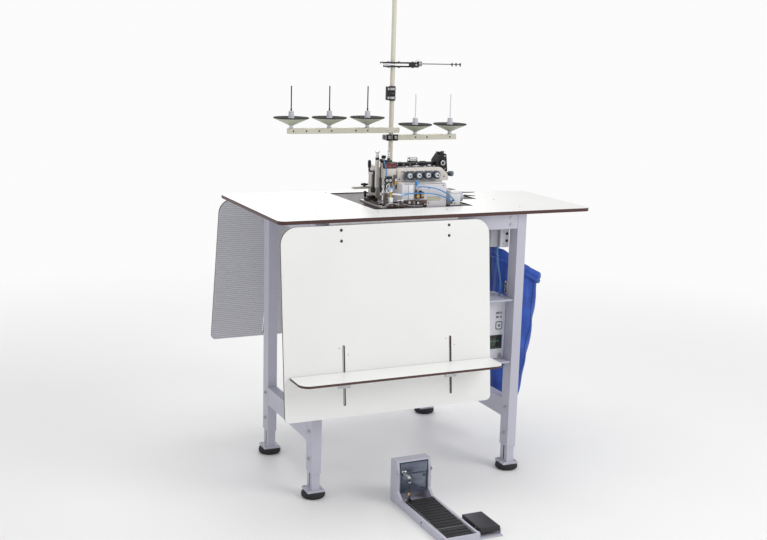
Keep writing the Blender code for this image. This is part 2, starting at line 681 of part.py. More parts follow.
def thread_stand():
    base = TABLE_TOP + GAP
    profile = [
        (0, POLE_TOP - base),
        (POLE_RADIUS, POLE_TOP - base - 0.002),
        (POLE_RADIUS, 0.02),
        (0.015, 0.018),
        (0.015, 0.006),
        (POLE_FLANGE_RADIUS, 0.005),
        (POLE_FLANGE_RADIUS, 0),
        (0, 0),
    ]
    turned("stand_pole", profile, (POLE_X, POLE_Y, base), "cream_paint", 24)

    low, high = COUPLING_Z - COUPLING_HEIGHT / 2, COUPLING_Z + COUPLING_HEIGHT / 2
    coupling = rod(
        "pole_coupling", (POLE_X, POLE_Y, low), (POLE_X, POLE_Y, high), COUPLING_RADIUS, "black_metal"
    )
    lug = box(
        "coupling_lug",
        (POLE_X - 0.024, POLE_Y - 0.008, low + 0.002),
        (POLE_X - POLE_RADIUS - 0.002, POLE_Y + 0.008, high - 0.002),
    )
    join(coupling, lug)
    cut(coupling, pole_bore("coupling_bore", low - 0.01, high + 0.01))

    spool_arm("left_spool_arm", LEFT_ARM_Z, LEFT_ARM_END, (-0.329, -0.277, -0.226, -0.175, -0.075, -0.025))
    spool_arm("right_spool_arm", RIGHT_ARM_Z, RIGHT_ARM_END, (0.181, 0.231, 0.333))
    spools = [(x, LEFT_ARM_Z) for x in LEFT_SPOOLS_X] + [(x, RIGHT_ARM_Z) for x in RIGHT_SPOOLS_X]
    for i, (x, z) in enumerate(spools, 1):
        spool_holder(f"spool_holder_{i}", x, z + ARM_HEIGHT / 2)

    half, bar, spread = 0.014, 0.006, 0.014
    clamp = box(
        "guide_clamp",
        (GUIDE_LEFT, POLE_Y - half, GUIDE_Z + spread / 2 - bar / 2),
        (GUIDE_RIGHT, POLE_Y + half, GUIDE_Z + spread / 2 + bar / 2),
        "black_metal",
    )
    lower = box(
        "guide_lower",
        (GUIDE_LEFT + 0.012, POLE_Y - half, GUIDE_Z - spread / 2 - bar / 2),
        (GUIDE_RIGHT, POLE_Y + half, GUIDE_Z - spread / 2 + bar / 2),
    )
    block = box(
        "guide_block",
        (GUIDE_RIGHT - 0.03, POLE_Y - half, GUIDE_Z - spread / 2),
        (GUIDE_RIGHT, POLE_Y + half, GUIDE_Z + spread / 2),
    )
    join(clamp, lower, block)
    cut(clamp, pole_bore("guide_bore", GUIDE_Z - 0.02, GUIDE_Z + 0.02))
    set_origin(clamp, (POLE_X, POLE_Y, GUIDE_Z))

    nut_left = GUIDE_RIGHT + GAP
    nut = rod(
        "thread_guide",
        (nut_left, POLE_Y, GUIDE_Z + 0.004),
        (nut_left + 0.016, POLE_Y, GUIDE_Z + 0.004),
        0.010,
        "cream_paint",
        None,
        12,
    )
    wire = rod(
        "guide_wire",
        (nut_left + 0.010, POLE_Y, GUIDE_Z + 0.004),
        (GUIDE_ROD_END, POLE_Y, GUIDE_Z + 0.004),
        GUIDE_ROD_RADIUS,
        None,
        None,
        10,
    )
    join(nut, wire)
    for i in range(3):
        x = GUIDE_ROD_END - 0.004 - 0.018 * i
        eye = rod(
            f"guide_eye_{i}",
            (x - 0.0012, POLE_Y, GUIDE_Z + 0.004),
            (x + 0.0012, POLE_Y, GUIDE_Z + 0.004),
            0.0055,
            None,
            None,
            12,
        )
        join(nut, eye)


# Overlock head


def side_profile(name, points, left, right, material_name=None):
    """A shape whose (y, z) outline is the same all along X."""
    turn = Matrix(((0, 0, 1), (1, 0, 0), (0, 1, 0)))
    return plate(name, points, right - left, (left, 0, 0), material_name, turn)


def front_profile(name, points, front, back, material_name=None):
    """A shape whose (x, z) outline is the same all along Y."""
    turn = Matrix(((1, 0, 0), (0, 0, -1), (0, 1, 0)))
    return plate(name, points, back - front, (0, back, 0), material_name, turn)


def head_casting():
    body = front_profile(
        "head_body",
        rounded(
            [
                (BODY_LEFT, HEAD_BASE, 0),
                (BODY_RIGHT, HEAD_BASE, 0),
                (BODY_RIGHT, BODY_TOP, 0.03),
                (BODY_LEFT, BODY_TOP, 0),
            ],
            6,
        ),
        BODY_FRONT + GAP,
        BODY_BACK,
        "head_paint",
    )
    arm_low, arm_high = (ARM_LEFT, ARM_FRONT, ARM_BOTTOM), (BODY_LEFT - 0.031, 0.05, BODY_TOP + 0.006)
    arm = box("head_arm", arm_low, arm_high, None, 0.006)
    bridge_low, bridge_high = (ARM_LEFT + 0.02, -0.05, ARM_BOTTOM + 0.002), (0.0, 0.09, BODY_TOP - 0.002)
    bridge = box("head_bridge", bridge_low, bridge_high, None, 0.004)
    pillar_low = (PILLAR_LEFT, 0.035, HEAD_BASE + 2 * BED_CLEAR)
    pillar_high = (BODY_LEFT + 0.01, BODY_BACK - 0.004, BODY_TOP - 0.006)
    pillar = box("head_pillar", pillar_low, pillar_high, None, 0.005)
    bed_low = (-0.150, -0.140, HEAD_BASE + BED_CLEAR)
    bed_high = (BODY_LEFT + 0.01, 0.060, HEAD_BASE + BED_THICKNESS)
    bed = box("head_bed", bed_low, bed_high)
    bar = box("head_bar", (-0.1385, -0.056, 0.060), (-0.1265, -0.044, 0.160), None, 0.002)
    bar_tie = box("head_bar_tie", (-0.133, -0.054, 0.106), (ARM_LEFT + 0.01, -0.046, 0.120))
    knob_foot, knob_head = (KNOB_X, FOOT_BAR_Y, BODY_TOP), (KNOB_X, FOOT_BAR_Y, KNOB_TOP)
    knob = rod("pressure_knob", knob_foot, knob_head, 0.0055, None, None, 16)
    cap = box("top_cap", (-0.105, -0.075, BODY_TOP), (-0.078, -0.02, 0.150), None, 0.003)
    seat_low = (-0.062, SHAFT_Y - 0.012, BODY_TOP - 0.01)
    shaft_seat = box("shaft_seat", seat_low, (-0.050, SHAFT_Y + 0.012, SHAFT_Z + 0.010))
    join(body, arm, bridge, pillar, bed, bar, bar_tie, knob, cap, shaft_seat)
    groove_start, groove_end = (SHAFT_LEFT - 0.0005, SHAFT_Y, SHAFT_Z), (BODY_RIGHT + 0.01, SHAFT_Y, SHAFT_Z)
    groove = rod("shaft_groove", groove_start, groove_end, SHAFT_RADIUS + 0.0035)
    needle_way = rod(
        "needle_way",
        (NEEDLE_X, NEEDLE_Y, ARM_BOTTOM - 0.01),
        (NEEDLE_X, NEEDLE_Y, BODY_TOP),
        NEEDLE_RADIUS + BORE_CLEARANCE,
    )
    foot_way = rod(
        "foot_way",
        (FOOT_BAR_X, FOOT_BAR_Y, ARM_BOTTOM - 0.01),
        (FOOT_BAR_X, FOOT_BAR_Y, BODY_TOP - 0.004),
        FOOT_BAR_RADIUS + BORE_CLEARANCE,
    )
    side = NEEDLE_OFFSETS[1] + 0.004
    needle_slot = box(
        "needle_slot",
        (NEEDLE_X - side, NEEDLE_TIP_Y - 0.0035, HEAD_BASE - 0.01),
        (NEEDLE_X + side, NEEDLE_TIP_Y + 0.0035, HEAD_BASE + 0.01),
    )
    cut(body, groove, needle_way, foot_way, needle_slot)


def head_covers():
    cover_top = COVER_TOP
    shell = front_profile(
        "looper_cover",
        rounded(
            [
                (COVER_LEFT, HEAD_BASE + GAP, 0.002),
                (COVER_RIGHT, HEAD_BASE + GAP, 0.002),
                (COVER_RIGHT, cover_top, 0.012),
                (COVER_LEFT, cover_top, 0.006),
            ],
            4,
        ),
        COVER_FRONT,
        BODY_FRONT,
        "head_paint",
    )
    hollow = box(
        "cover_hollow",
        (COVER_LEFT + COVER_WALL, COVER_FRONT + COVER_WALL, HEAD_BASE + COVER_WALL),
        (COVER_RIGHT - COVER_WALL, BODY_FRONT + 0.01, cover_top - COVER_WALL),
    )
    bed_relief = box(
        "cover_relief",
        (COVER_LEFT - 0.01, -0.1405, HEAD_BASE - 0.01),
        (BODY_LEFT + 0.011, BODY_FRONT + 0.01, HEAD_BASE + 0.0065),
    )
    cut(shell, hollow, bed_relief)

    cover = front_profile(
        "dial_cover",
        rounded(
            [
                (DIAL_LEFT, COVER_TOP + 2 * GAP, 0.003),
                (DIAL_RIGHT, COVER_TOP + 2 * GAP, 0.002),
                (DIAL_RIGHT, 0.106, 0.018),
                (DIAL_RIGHT - 0.026, 0.1325, 0.010),
                (DIAL_LEFT, 0.1325, 0.006),
            ],
            4,
        ),
        DIAL_FRONT,
        BODY_FRONT,
        "head_paint",
    )
    slope = side_profile(
        "dial_slope",
        [(DIAL_FRONT - 0.01, 0.114), (DIAL_FRONT - 0.01, 0.146), (BODY_FRONT + 0.004, 0.146)],
        DIAL_LEFT - 0.01,
        DIAL_RIGHT + 0.01,
    )
    cut(cover, slope)
    for i in range(4):
        x = DIAL_FIRST_X + DIAL_PITCH * i
        name = f"tension_dial_{i + 1}"
        front = DIAL_FRONT - GAP
        face = front - DIAL_LENGTH
        dial = rod(
            name, (x, front, DIAL_Z), (x, face, DIAL_Z), DIAL_RADIUS, "blue_grey_plastic", 0.0105, 24
        )
        cap = rod(name + "_cap", (x, front - 0.01, DIAL_Z), (x, face - 0.006, DIAL_Z), 0.0062, None, None, 16)
        join(dial, cap)
        set_origin(dial, (x, front, DIAL_Z))


def sewing_parts():
    clamp_low, clamp_high = 0.046, 0.058
    bar_start, bar_end = (NEEDLE_X, NEEDLE_Y, clamp_low - 0.002), (NEEDLE_X, NEEDLE_Y, BODY_TOP - 0.006)
    needle = rod("needle_bar", bar_start, bar_end, NEEDLE_RADIUS, "chrome", None, 16)
    clamp = box(
        "needle_clamp",
        (NEEDLE_X - 0.009, NEEDLE_Y - 0.008, clamp_low),
        (NEEDLE_X + 0.009, NEEDLE_Y + 0.006, clamp_high),
    )
    join(needle, clamp)
    for i, offset in enumerate(NEEDLE_OFFSETS):
        x = NEEDLE_X + offset
        start, end = (x, NEEDLE_TIP_Y, clamp_low + 0.002), (x, NEEDLE_TIP_Y, NEEDLE_TIP_Z)
        join(needle, rod(f"needle_{i}", start, end, NEEDLE_TIP_RADIUS, None, None, 8))
    set_origin(needle, bar_start)

    sole = HEAD_BASE + BED_THICKNESS + 0.0005
    sole_top = sole + SOLE_THICKNESS
    foot_piece = box("presser_foot", (-0.125, -0.120, sole), (-0.0985, -0.046, sole_top), "chrome", 0.0015)
    shank_start = (FOOT_BAR_X, FOOT_BAR_Y, sole_top - 0.003)
    shank_end = (FOOT_BAR_X, FOOT_BAR_Y, BODY_TOP - 0.004 - FOOT_TRAVEL - 0.001)
    shank = rod("foot_shank", shank_start, shank_end, FOOT_BAR_RADIUS, None, None, 16)
    holder = box(
        "foot_holder",
        (FOOT_BAR_X - 0.008, FOOT_BAR_Y - 0.007, 0.034),
        (FOOT_BAR_X + 0.0025, FOOT_BAR_Y + 0.008, 0.068),
    )
    needle_gap = box("foot_needle_gap", (-0.110, -0.0965, HEAD_BASE), (-0.090, -0.0815, sole_top + 0.01))
    join(foot_piece, shank, holder)
    cut(foot_piece, needle_gap)
    set_origin(foot_piece, (FOOT_BAR_X, FOOT_BAR_Y, sole_top))

    lever = rod(
        "lifter_lever",
        (ARM_LEFT - GAP, LEVER_Y, LEVER_PIVOT_Z),
        (LEVER_X - 0.006, LEVER_Y, LEVER_PIVOT_Z),
        0.009,
        "black_metal",
    )
    blade = box(
        "lever_blade",
        (LEVER_X - 0.006, LEVER_Y - 0.008, 0.046),
        (LEVER_X, LEVER_Y + 0.008, LEVER_PIVOT_Z + 0.004),
    )
    grip_start, grip_end = (LEVER_X - 0.003, LEVER_Y, 0.040), (LEVER_X - 0.003, LEVER_Y, 0.061)
    grip = rod("lever_grip", grip_start, grip_end, 0.0075, None, 0.005)
    join(lever, blade, grip)
    set_origin(lever, (LEVER_X, LEVER_Y, LEVER_PIVOT_Z))

    shaft = rod(
        "puller_shaft",
        (SHAFT_LEFT, SHAFT_Y, SHAFT_Z),
        (PULLER_LEFT - 2 * GAP, SHAFT_Y, SHAFT_Z),
        SHAFT_RADIUS,
        "black_metal",
    )
    collar = rod("shaft_collar", (0.06, SHAFT_Y, SHAFT_Z), (0.085, SHAFT_Y, SHAFT_Z), SHAFT_RADIUS + 0.002)
    join(shaft, collar)
    set_origin(shaft, (PULLER_LEFT, SHAFT_Y, SHAFT_Z))

    housing = front_profile(
        "puller_housing",
        rounded(
            [
                (PULLER_LEFT, 0.086, 0.004),
                (PULLER_RIGHT - 0.016, 0.086, 0.006),
                (PULLER_RIGHT, 0.111, 0.006),
                (PULLER_RIGHT - 0.006, PULLER_TOP, 0.006),
                (PULLER_LEFT + 0.018, PULLER_TOP, 0.005),
                (PULLER_LEFT, 0.148, 0.006),
            ],
            3,
        ),
        SHAFT_Y - 0.022,
        SHAFT_Y + 0.022,
        "black_metal",
    )
    neck_start, neck_end = (PULLER_RIGHT - 0.012, -0.016, 0.102), (PULLER_RIGHT + 0.004, -0.040, 0.102)
    neck = rod("puller_neck", neck_start, neck_end, 0.004, None, None, 12)
    ball_start, ball_end = (PULLER_RIGHT - 0.002, -0.036, 0.102), (PULLER_RIGHT + 0.008, -0.050, 0.102)
    ball = rod("puller_ball", ball_start, ball_end, 0.0095, None, None, 20)
    join(housing, neck, ball)


def head_drive():
    box(
        "motor_housing",
        (MOTOR_LEFT, MOTOR_FRONT, HEAD_BASE),
        (MOTOR_RIGHT, MOTOR_BACK, MOTOR_TOP),
        "white_plastic",
        0.003,
    )
    start = MOTOR_RIGHT + GAP
    end = start + WHEEL_LENGTH
    wheel_start, wheel_end = (start, WHEEL_Y, WHEEL_Z), (end, WHEEL_Y, WHEEL_Z)
    wheel = rod("handwheel", wheel_start, wheel_end, WHEEL_RADIUS, "lavender_paint", None, 32)
    boss = rod("wheel_boss", (start + 0.01, WHEEL_Y, WHEEL_Z), (end + 0.006, WHEEL_Y, WHEEL_Z), 0.008)
    join(wheel, boss)
    set_origin(wheel, (start, WHEEL_Y, WHEEL_Z))

    box(
        "edge_guide",
        (GUIDE_BAR_LEFT, GUIDE_BAR_Y - 0.009, GUIDE_BAR_Z),
        (PILLAR_LEFT - GAP, GUIDE_BAR_Y + 0.009, GUIDE_BAR_Z + GUIDE_BAR_HEIGHT),
        "cream_paint",
        0.0015,
    )
    knob_base = GUIDE_BAR_Z + GUIDE_BAR_HEIGHT + GAP
    stem_start, stem_end = (STAR_X, GUIDE_BAR_Y, knob_base), (STAR_X, GUIDE_BAR_Y, knob_base + 0.005)
    knob = rod("guide_knob", stem_start, stem_end, 0.005, "black_metal")
    for i in range(3):
        angle = math.radians(60 * i)
        reach = Vector((math.cos(angle), math.sin(angle), 0)) * STAR_RADIUS
        centre = Vector((STAR_X, GUIDE_BAR_Y, knob_base + 0.007))
        lobe = rod(f"knob_lobe_{i}", centre - reach, centre + reach, 0.0035, None, None, 10)
        join(knob, lobe)
    set_origin(knob, (STAR_X, GUIDE_BAR_Y, knob_base))


def smooth_route(points, steps):
    """Points read from a smooth curve through the route's own points."""
    route = [Vector(p) for p in points]
    route = [2 * route[0] - route[1]] + route + [2 * route[-1] - route[-2]]
    found = []
    for a, b, c, d in zip(route, route[1:], route[2:], route[3:]):
        for step in range(steps):
            t = step / steps
            square, cube = 2 * a - 5 * b + 4 * c - d, 3 * b - a - 3 * c + d
            found.append(0.5 * (2 * b + (c - a) * t + square * t**2 + cube * t**3))
    found.append(route[-2])
    return found


def hoses():
    upper = [
        (-0.022, -0.1560, 0.070),
        (-0.010, -0.1640, 0.074),
        (0.030, -0.1660, 0.070),
        (0.070, -0.1660, 0.058),
        (0.105, -0.1640, 0.038),
        (0.128, -0.1540, 0.020),
        (0.130, -0.1480, 0.017),
        (0.130, -0.1408, 0.017),
    ]
    lower = [
        (-0.074, -0.1560, 0.046),
        (-0.062, -0.1620, 0.050),
        (-0.010, -0.1640, 0.051),
        (0.045, -0.1640, 0.046),
        (0.095, -0.1620, 0.030),
        (0.120, -0.1550, 0.012),
        (0.1235, -0.1480, 0.009),
        (0.1235, -0.1408, 0.009),
    ]
    tube("air_hose_upper", smooth_route(upper, 4), HOSE_RADIUS, "blue_hose")
    tube("air_hose_lower", smooth_route(lower, 4), HOSE_RADIUS, "blue_hose")


# Pedal


def pedal():
    left, right = PEDAL_LEFT, PEDAL_RIGHT
    base = box(
        "pedal_base", (left, PEDAL_FRONT, 0), (right, PEDAL_BACK, PEDAL_SIDE_HEIGHT), "lavender_paint", 0.002
    )
    upright_front = PEDAL_BACK - UPRIGHT_DEPTH
    upright = side_profile(
        "pedal_upright",
        rounded(
            [
                (upright_front - 0.03, 0.002, 0),
                (PEDAL_BACK, 0.002, 0),
                (PEDAL_BACK, UPRIGHT_HEIGHT, 0.006),
                (upright_front + 0.008, UPRIGHT_HEIGHT, 0.004),
                (upright_front, UPRIGHT_HEIGHT - 0.04, 0.01),
                (upright_front, PEDAL_SIDE_HEIGHT + 0.02, 0.01),
                (upright_front - 0.03, PEDAL_SIDE_HEIGHT - 0.002, 0),
            ],
            3,
        ),
        left + 0.0005,
        right - 0.0005,
    )
    side_plate = box("pedal_plate", (right - 0.005, -0.800, 0.0), (SMALL_RIGHT + 0.004, -0.660, 0.004))
    join(base, upright, side_plate)
    hinge_y, hinge_z = SMALL_FRONT + 0.006, SMALL_BOTTOM + 0.004
    ears = ((right - 0.003, SMALL_LEFT - 0.0005), (SMALL_RIGHT + 0.0005, SMALL_RIGHT + 0.004))
    for i, (low_x, high_x) in enumerate(ears):
        ear_low, ear_high = (low_x, hinge_y - 0.005, 0.002), (high_x, hinge_y + 0.005, hinge_z + 0.005)
        join(base, box(f"pedal_ear_{i}", ear_low, ear_high))
    stay_y, stay_z = SMALL_BACK - 0.014, 0.019
    stay_start, stay_end = (right - 0.003, stay_y, stay_z), (SMALL_LEFT - 0.0005, stay_y, stay_z)
    join(base, rod("pedal_stay", stay_start, stay_end, 0.0022, None, None, 12))
    tray = box(
        "pedal_tray",
        (left + PEDAL_WALL, PEDAL_FRONT + 0.006, PEDAL_FLOOR),
        (right - PEDAL_WALL, PEDAL_BACK - 0.012, UPRIGHT_HEIGHT - UPRIGHT_ROOF),
    )
    cut(base, tray)

    slope = Matrix.Rotation(TREADLE_TILT, 3, "X")
    length = TREADLE_BACK_Y - TREADLE_PIVOT_Y
    width = right - left - 2 * PEDAL_WALL - 0.003
    pivot = Vector(((left + right) / 2, TREADLE_PIVOT_Y, TREADLE_PIVOT_Z))
    board = plate(
        "treadle",
        rounded_box_outline(-width / 2, width / 2, -0.004, length, 0.003),
        TREADLE_THICKNESS,
        pivot + slope @ Vector((0, 0, -TREADLE_THICKNESS / 2)),
        "black_rubber",
        slope,
    )
    set_origin(board, pivot)

    box(
        "switch_box",
        (left + PEDAL_WALL + 0.003, upright_front + 0.006, 0.034),
        (right - PEDAL_WALL - 0.003, PEDAL_BACK - 0.012 - GAP, UPRIGHT_HEIGHT - UPRIGHT_ROOF - 0.003),
        "blue_grey_plastic",
        0.004,
    )

    rise = (LINK_Y - TREADLE_PIVOT_Y) * math.tan(TREADLE_TILT)
    link_z = TREADLE_PIVOT_Z + rise + TREADLE_THICKNESS / 2
    link_start, link_end = (LINK_X, LINK_Y, link_z + 0.001), (LINK_X, LINK_Y, ARM_PIN_Z - 0.0045)
    link = rod("treadle_link", link_start, link_end, 0.0024, "zinc_steel", None, 12)
    clevis = box(
        "link_clevis",
        (LINK_X - 0.0045, LINK_Y - 0.006, link_z + 0.0008),
        (LINK_X + 0.0045, LINK_Y + 0.006, link_z + 0.012),
    )
    join(link, clevis)
    arm = box(
        "switch_arm",
        (LINK_X - 0.003, LINK_Y - 0.006, ARM_PIN_Z - 0.003),
        (LINK_X + 0.003, ARM_PIN_Y, ARM_PIN_Z + 0.003),
        "zinc_steel",
    )
    hub_start, hub_end = (LINK_X - 0.005, ARM_PIN_Y, ARM_PIN_Z), (LINK_X + 0.012, ARM_PIN_Y, ARM_PIN_Z)
    join(arm, rod("arm_hub", hub_start, hub_end, 0.0045))
    set_origin(arm, (LINK_X, ARM_PIN_Y, ARM_PIN_Z))

    rocker = box(
        "small_pedal",
        (SMALL_LEFT, SMALL_FRONT, SMALL_BOTTOM),
        (SMALL_RIGHT, SMALL_BACK, SMALL_BOTTOM + SMALL_HEIGHT),
        "black_rubber",
        0.003,
    )
    set_origin(rocker, ((SMALL_LEFT + SMALL_RIGHT) / 2, hinge_y, hinge_z))


# Control gear and waste bag


def control_gear():
    inner_face = RIGHT_FRAME_X - LEG_WIDTH / 2
    box(
        "control_box",
        (BOX_LEFT, BOX_FRONT, LOWER_PLATE_Z + PLATE_THICKNESS + GAP),
        (inner_face - GAP, BOX_BACK, SHELF_PLATE_Z - GAP),
        "white_plastic",
        0.002,
    )
    valve = box(
        "valve_box",
        (VALVE_LEFT + 0.032, BOX_FRONT, VALVE_BOTTOM),
        (inner_face - GAP, VALVE_BACK, VALVE_TOP),
        "white_plastic",
        0.002,
    )
    cheek_low = (VALVE_LEFT, BOX_FRONT + 0.012, VALVE_BOTTOM + 0.002)
    cheek = box("valve_cheek", cheek_low, (VALVE_LEFT + 0.036, VALVE_BACK, VALVE_TOP))
    strap_low = (VALVE_LEFT, VALVE_BACK - 0.004, VALVE_TOP - 0.01)
    strap = box("valve_strap", strap_low, (inner_face - GAP, VALVE_BACK, UNDERSIDE - GAP))
    join(valve, cheek, strap)
    route = [
        (CABLE_X, CABLE_Y, VALVE_BOTTOM + 0.002 - GAP),
        (CABLE_X, CABLE_Y, VALVE_BOTTOM - 0.020),
        (CABLE_X - 0.006, CABLE_Y - 0.020, VALVE_BOTTOM - 0.068),
        (CABLE_X - 0.008, CABLE_Y - 0.022, SHELF_PLATE_Z + 0.072),
        (CABLE_X, CABLE_Y, SHELF_PLATE_Z + 0.027),
        (CABLE_X, CABLE_Y, SHELF_PLATE_Z),
    ]
    tube("control_cable", smooth_route(route, 4), CABLE_RADIUS, "black_cable")


def rim_height(x):
    share = (x - BAG_LEFT) / (BAG_RIGHT - BAG_LEFT)
    return BAG_RIM_HIGH + (BAG_RIM_LOW - BAG_RIM_HIGH) * share


def waste_bag():
    """An open shell whose mouth slopes down to the right, hung from a wire hoop."""
    levels = 6
    shape = bmesh.new()
    rings = []
    for level in range(levels + 1):
        share = level / levels
        left = BAG_BOTTOM_LEFT + (BAG_LEFT - BAG_BOTTOM_LEFT) * share
        right = BAG_BOTTOM_RIGHT + (BAG_RIGHT - BAG_BOTTOM_RIGHT) * share**0.7
        inset = 0.02 * (1 - share)
        radius = 0.03 + 0.01 * (1 - share)
        outline = rounded_box_outline(left, right, BAG_FRONT + inset, BAG_BACK - inset, radius)
        ring = []
        for x, y in outline:
            top = rim_height(x)
            ring.append(shape.verts.new((x, y, BAG_BOTTOM + (top - BAG_BOTTOM) * share)))
        rings.append(ring)
    count = len(rings[0])
    for lower, upper in zip(rings, rings[1:]):
        for i in range(count):
            j = (i + 1) % count
            shape.faces.new((lower[i], lower[j], upper[j], upper[i]))
    shape.faces.new(list(reversed(rings[0])))
    bag = from_bmesh("waste_bag", shape, "blue_fabric")
    solid = bag.modifiers.new("cloth", "SOLIDIFY")
    solid.thickness = BAG_SHEET
    solid.offset = -1

    clear = HOOP_CLEAR + HOOP_RADIUS
    left, right = BAG_LEFT - clear, BAG_RIGHT + clear
    outline = rounded_box_outline(left, right, BAG_FRONT - clear, BAG_BACK + clear, 0.034)
    loop = [(x, y, rim_height(x) - HOOP_DROP) for x, y in outline]
    hoop = tube("bag_hoop", loop, HOOP_RADIUS, "zinc_steel", cyclic=True)
    outer_face = RIGHT_FRAME_X + LEG_WIDTH / 2 + GAP
    for i, y in enumerate(HANGER_Y):
        post_start, post_end = (left, y, rim_height(left) - HOOP_DROP), (left, y, HANGER_TOP)
        post = rod(f"hoop_post_{i}", post_start, post_end, HOOP_RADIUS + 0.0005, None, None, 12)
        pad = box(
            f"hoop_pad_{i}",
            (outer_face, y - 0.012, HANGER_TOP - 0.022),
            (left + 0.002, y + 0.012, HANGER_TOP),
        )
        join(hoop, post, pad)


frame()
table()
aprons()
thread_stand()
base["parent"] = deck
head_casting()
head_covers()
sewing_parts()
head_drive()
hoses()
base["parent"] = station
pedal()
control_gear()
waste_bag()
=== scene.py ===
"""Looks for the standing overlock workstation: every CAD node dressed, and the small pieces built round them.

Metres, +Z up, +X to the operator's right, +Y away from the operator. Places come from the frame's own boxes.
"""

import math

import bmesh
import bpy
from mathutils import Matrix, Vector


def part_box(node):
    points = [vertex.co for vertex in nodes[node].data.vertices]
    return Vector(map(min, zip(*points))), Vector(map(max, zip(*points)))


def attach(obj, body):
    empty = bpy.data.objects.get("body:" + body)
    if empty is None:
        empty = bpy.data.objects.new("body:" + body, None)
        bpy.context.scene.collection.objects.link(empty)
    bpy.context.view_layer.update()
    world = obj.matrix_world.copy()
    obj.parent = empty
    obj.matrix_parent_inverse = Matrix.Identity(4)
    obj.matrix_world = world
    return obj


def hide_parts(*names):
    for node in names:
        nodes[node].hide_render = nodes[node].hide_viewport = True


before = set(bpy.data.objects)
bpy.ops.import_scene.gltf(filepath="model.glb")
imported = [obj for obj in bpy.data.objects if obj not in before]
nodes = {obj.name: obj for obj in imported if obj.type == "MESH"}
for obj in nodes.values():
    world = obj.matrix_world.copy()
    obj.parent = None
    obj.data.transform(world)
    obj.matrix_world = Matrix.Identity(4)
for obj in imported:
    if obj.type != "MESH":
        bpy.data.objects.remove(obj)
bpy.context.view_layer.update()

X, Y, Z = Vector((1, 0, 0)), Vector((0, 1, 0)), Vector((0, 0, 1))


# Camera, light and floor


def make_camera():
    yaw, pitch, roll = math.radians(24.78), math.radians(11.56), math.radians(1.55)
    forward = Vector((math.sin(yaw) * math.cos(pitch), math.cos(yaw) * math.cos(pitch), -math.sin(pitch)))
    level = Vector((math.cos(yaw), -math.sin(yaw), 0))
    upright = level.cross(forward)
    across = level * math.cos(roll) + upright * math.sin(roll)
    above = upright * math.cos(roll) - level * math.sin(roll)
    data = bpy.data.cameras.new("camera")
    data.lens = 54.3
    data.clip_end = 60
    camera = bpy.data.objects.new("camera", data)
    turn = Matrix((across, above, -forward)).transposed().to_4x4()
    camera.matrix_world = Matrix.Translation((-1.833, -3.6405, 1.587)) @ turn
    bpy.context.scene.collection.objects.link(camera)
    bpy.context.scene.camera = camera


def area_light(name, at, target, size, power, colour=(1, 1, 1)):
    data = bpy.data.lights.new(name, "AREA")
    data.shape = "RECTANGLE"
    data.size, data.size_y = size
    data.energy = power
    data.color = colour
    light = bpy.data.objects.new(name, data)
    light.location = at
    light.rotation_mode = "QUATERNION"
    light.rotation_quaternion = (Vector(target) - Vector(at)).to_track_quat("-Z", "Y")
    bpy.context.scene.collection.objects.link(light)


def make_studio():
    world = bpy.data.worlds.new("studio")
    bpy.context.scene.world = world
    world.use_nodes = True
    background = world.node_tree.nodes["Background"]
    background.inputs["Color"].default_value = (1, 1, 1, 1)
    background.inputs["Strength"].default_value = 0.56
    # The camera sees a plain white backdrop, brighter than the light that it gives.
    tree = world.node_tree
    backdrop = add_node(tree, "ShaderNodeBackground", Color=(1, 1, 1, 1), Strength=0.97)
    path, choice = add_node(tree, "ShaderNodeLightPath"), add_node(tree, "ShaderNodeMixShader")
    link(tree, path, "Is Camera Ray", choice, 0)
    link(tree, background, "Background", choice, 1)
    link(tree, backdrop, "Background", choice, 2)
    link(tree, choice, "Shader", tree.nodes["World Output"], "Surface")
    area_light("key", (2.6, -3.6, 3.4), (0, 0, 0.8), (2.6, 2.6), 92, (1, 0.99, 0.97))
    area_light("top", (-0.4, 0.2, 4.2), (0, 0.1, 0.9), (3.2, 3.2), 48)
    area_light("left", (-4.2, -0.8, 1.8), (0, 0, 0.8), (2.0, 2.4), 7, (0.93, 0.95, 1))
    area_light("behind", (1.2, 4.2, 2.6), (0, 0, 0.9), (2.6, 2.0), 34)
    bpy.context.scene.view_settings.view_transform = "Standard"

    floor_mesh = bmesh.new()
    bmesh.ops.create_circle(floor_mesh, cap_ends=True, radius=14, segments=96)
    mesh = bpy.data.meshes.new("floor")
    floor_mesh.to_mesh(mesh)
    floor_mesh.free()
    floor = bpy.data.objects.new("floor", mesh)
    floor.location.z = -0.0005
    bpy.context.scene.collection.objects.link(floor)
    mesh.materials.append(finishes["floor"])


# Materials

finishes = {}


def new_finish(name):
    made = bpy.data.materials.new(name)
    made.use_nodes = True
    finishes[name] = made
    tree = made.node_tree
    return tree, tree.nodes["Principled BSDF"]


def add_node(tree, kind, settings=None, **inputs):
    node = tree.nodes.new(kind)
    for name, value in (settings or {}).items():
        setattr(node, name, value)
    for name, value in inputs.items():
        node.inputs[name.replace("_", " ")].default_value = value
    return node


def link(tree, source, output, target, entry):
    tree.links.new(source.outputs[output], target.inputs[entry])


def place_node(tree, stretch=(1, 1, 1)):
    """Object coordinates, stretched."""
    where = add_node(tree, "ShaderNodeTexCoord")
    scaled = add_node(tree, "ShaderNodeMapping", Scale=stretch)
    link(tree, where, "Object", scaled, "Vector")
    return scaled


def noise_node(tree, place, scale, detail=3.0, rough=0.55):
    made = add_node(tree, "ShaderNodeTexNoise", Scale=scale, Detail=detail, Roughness=rough)
    link(tree, place, "Vector", made, "Vector")
    return made


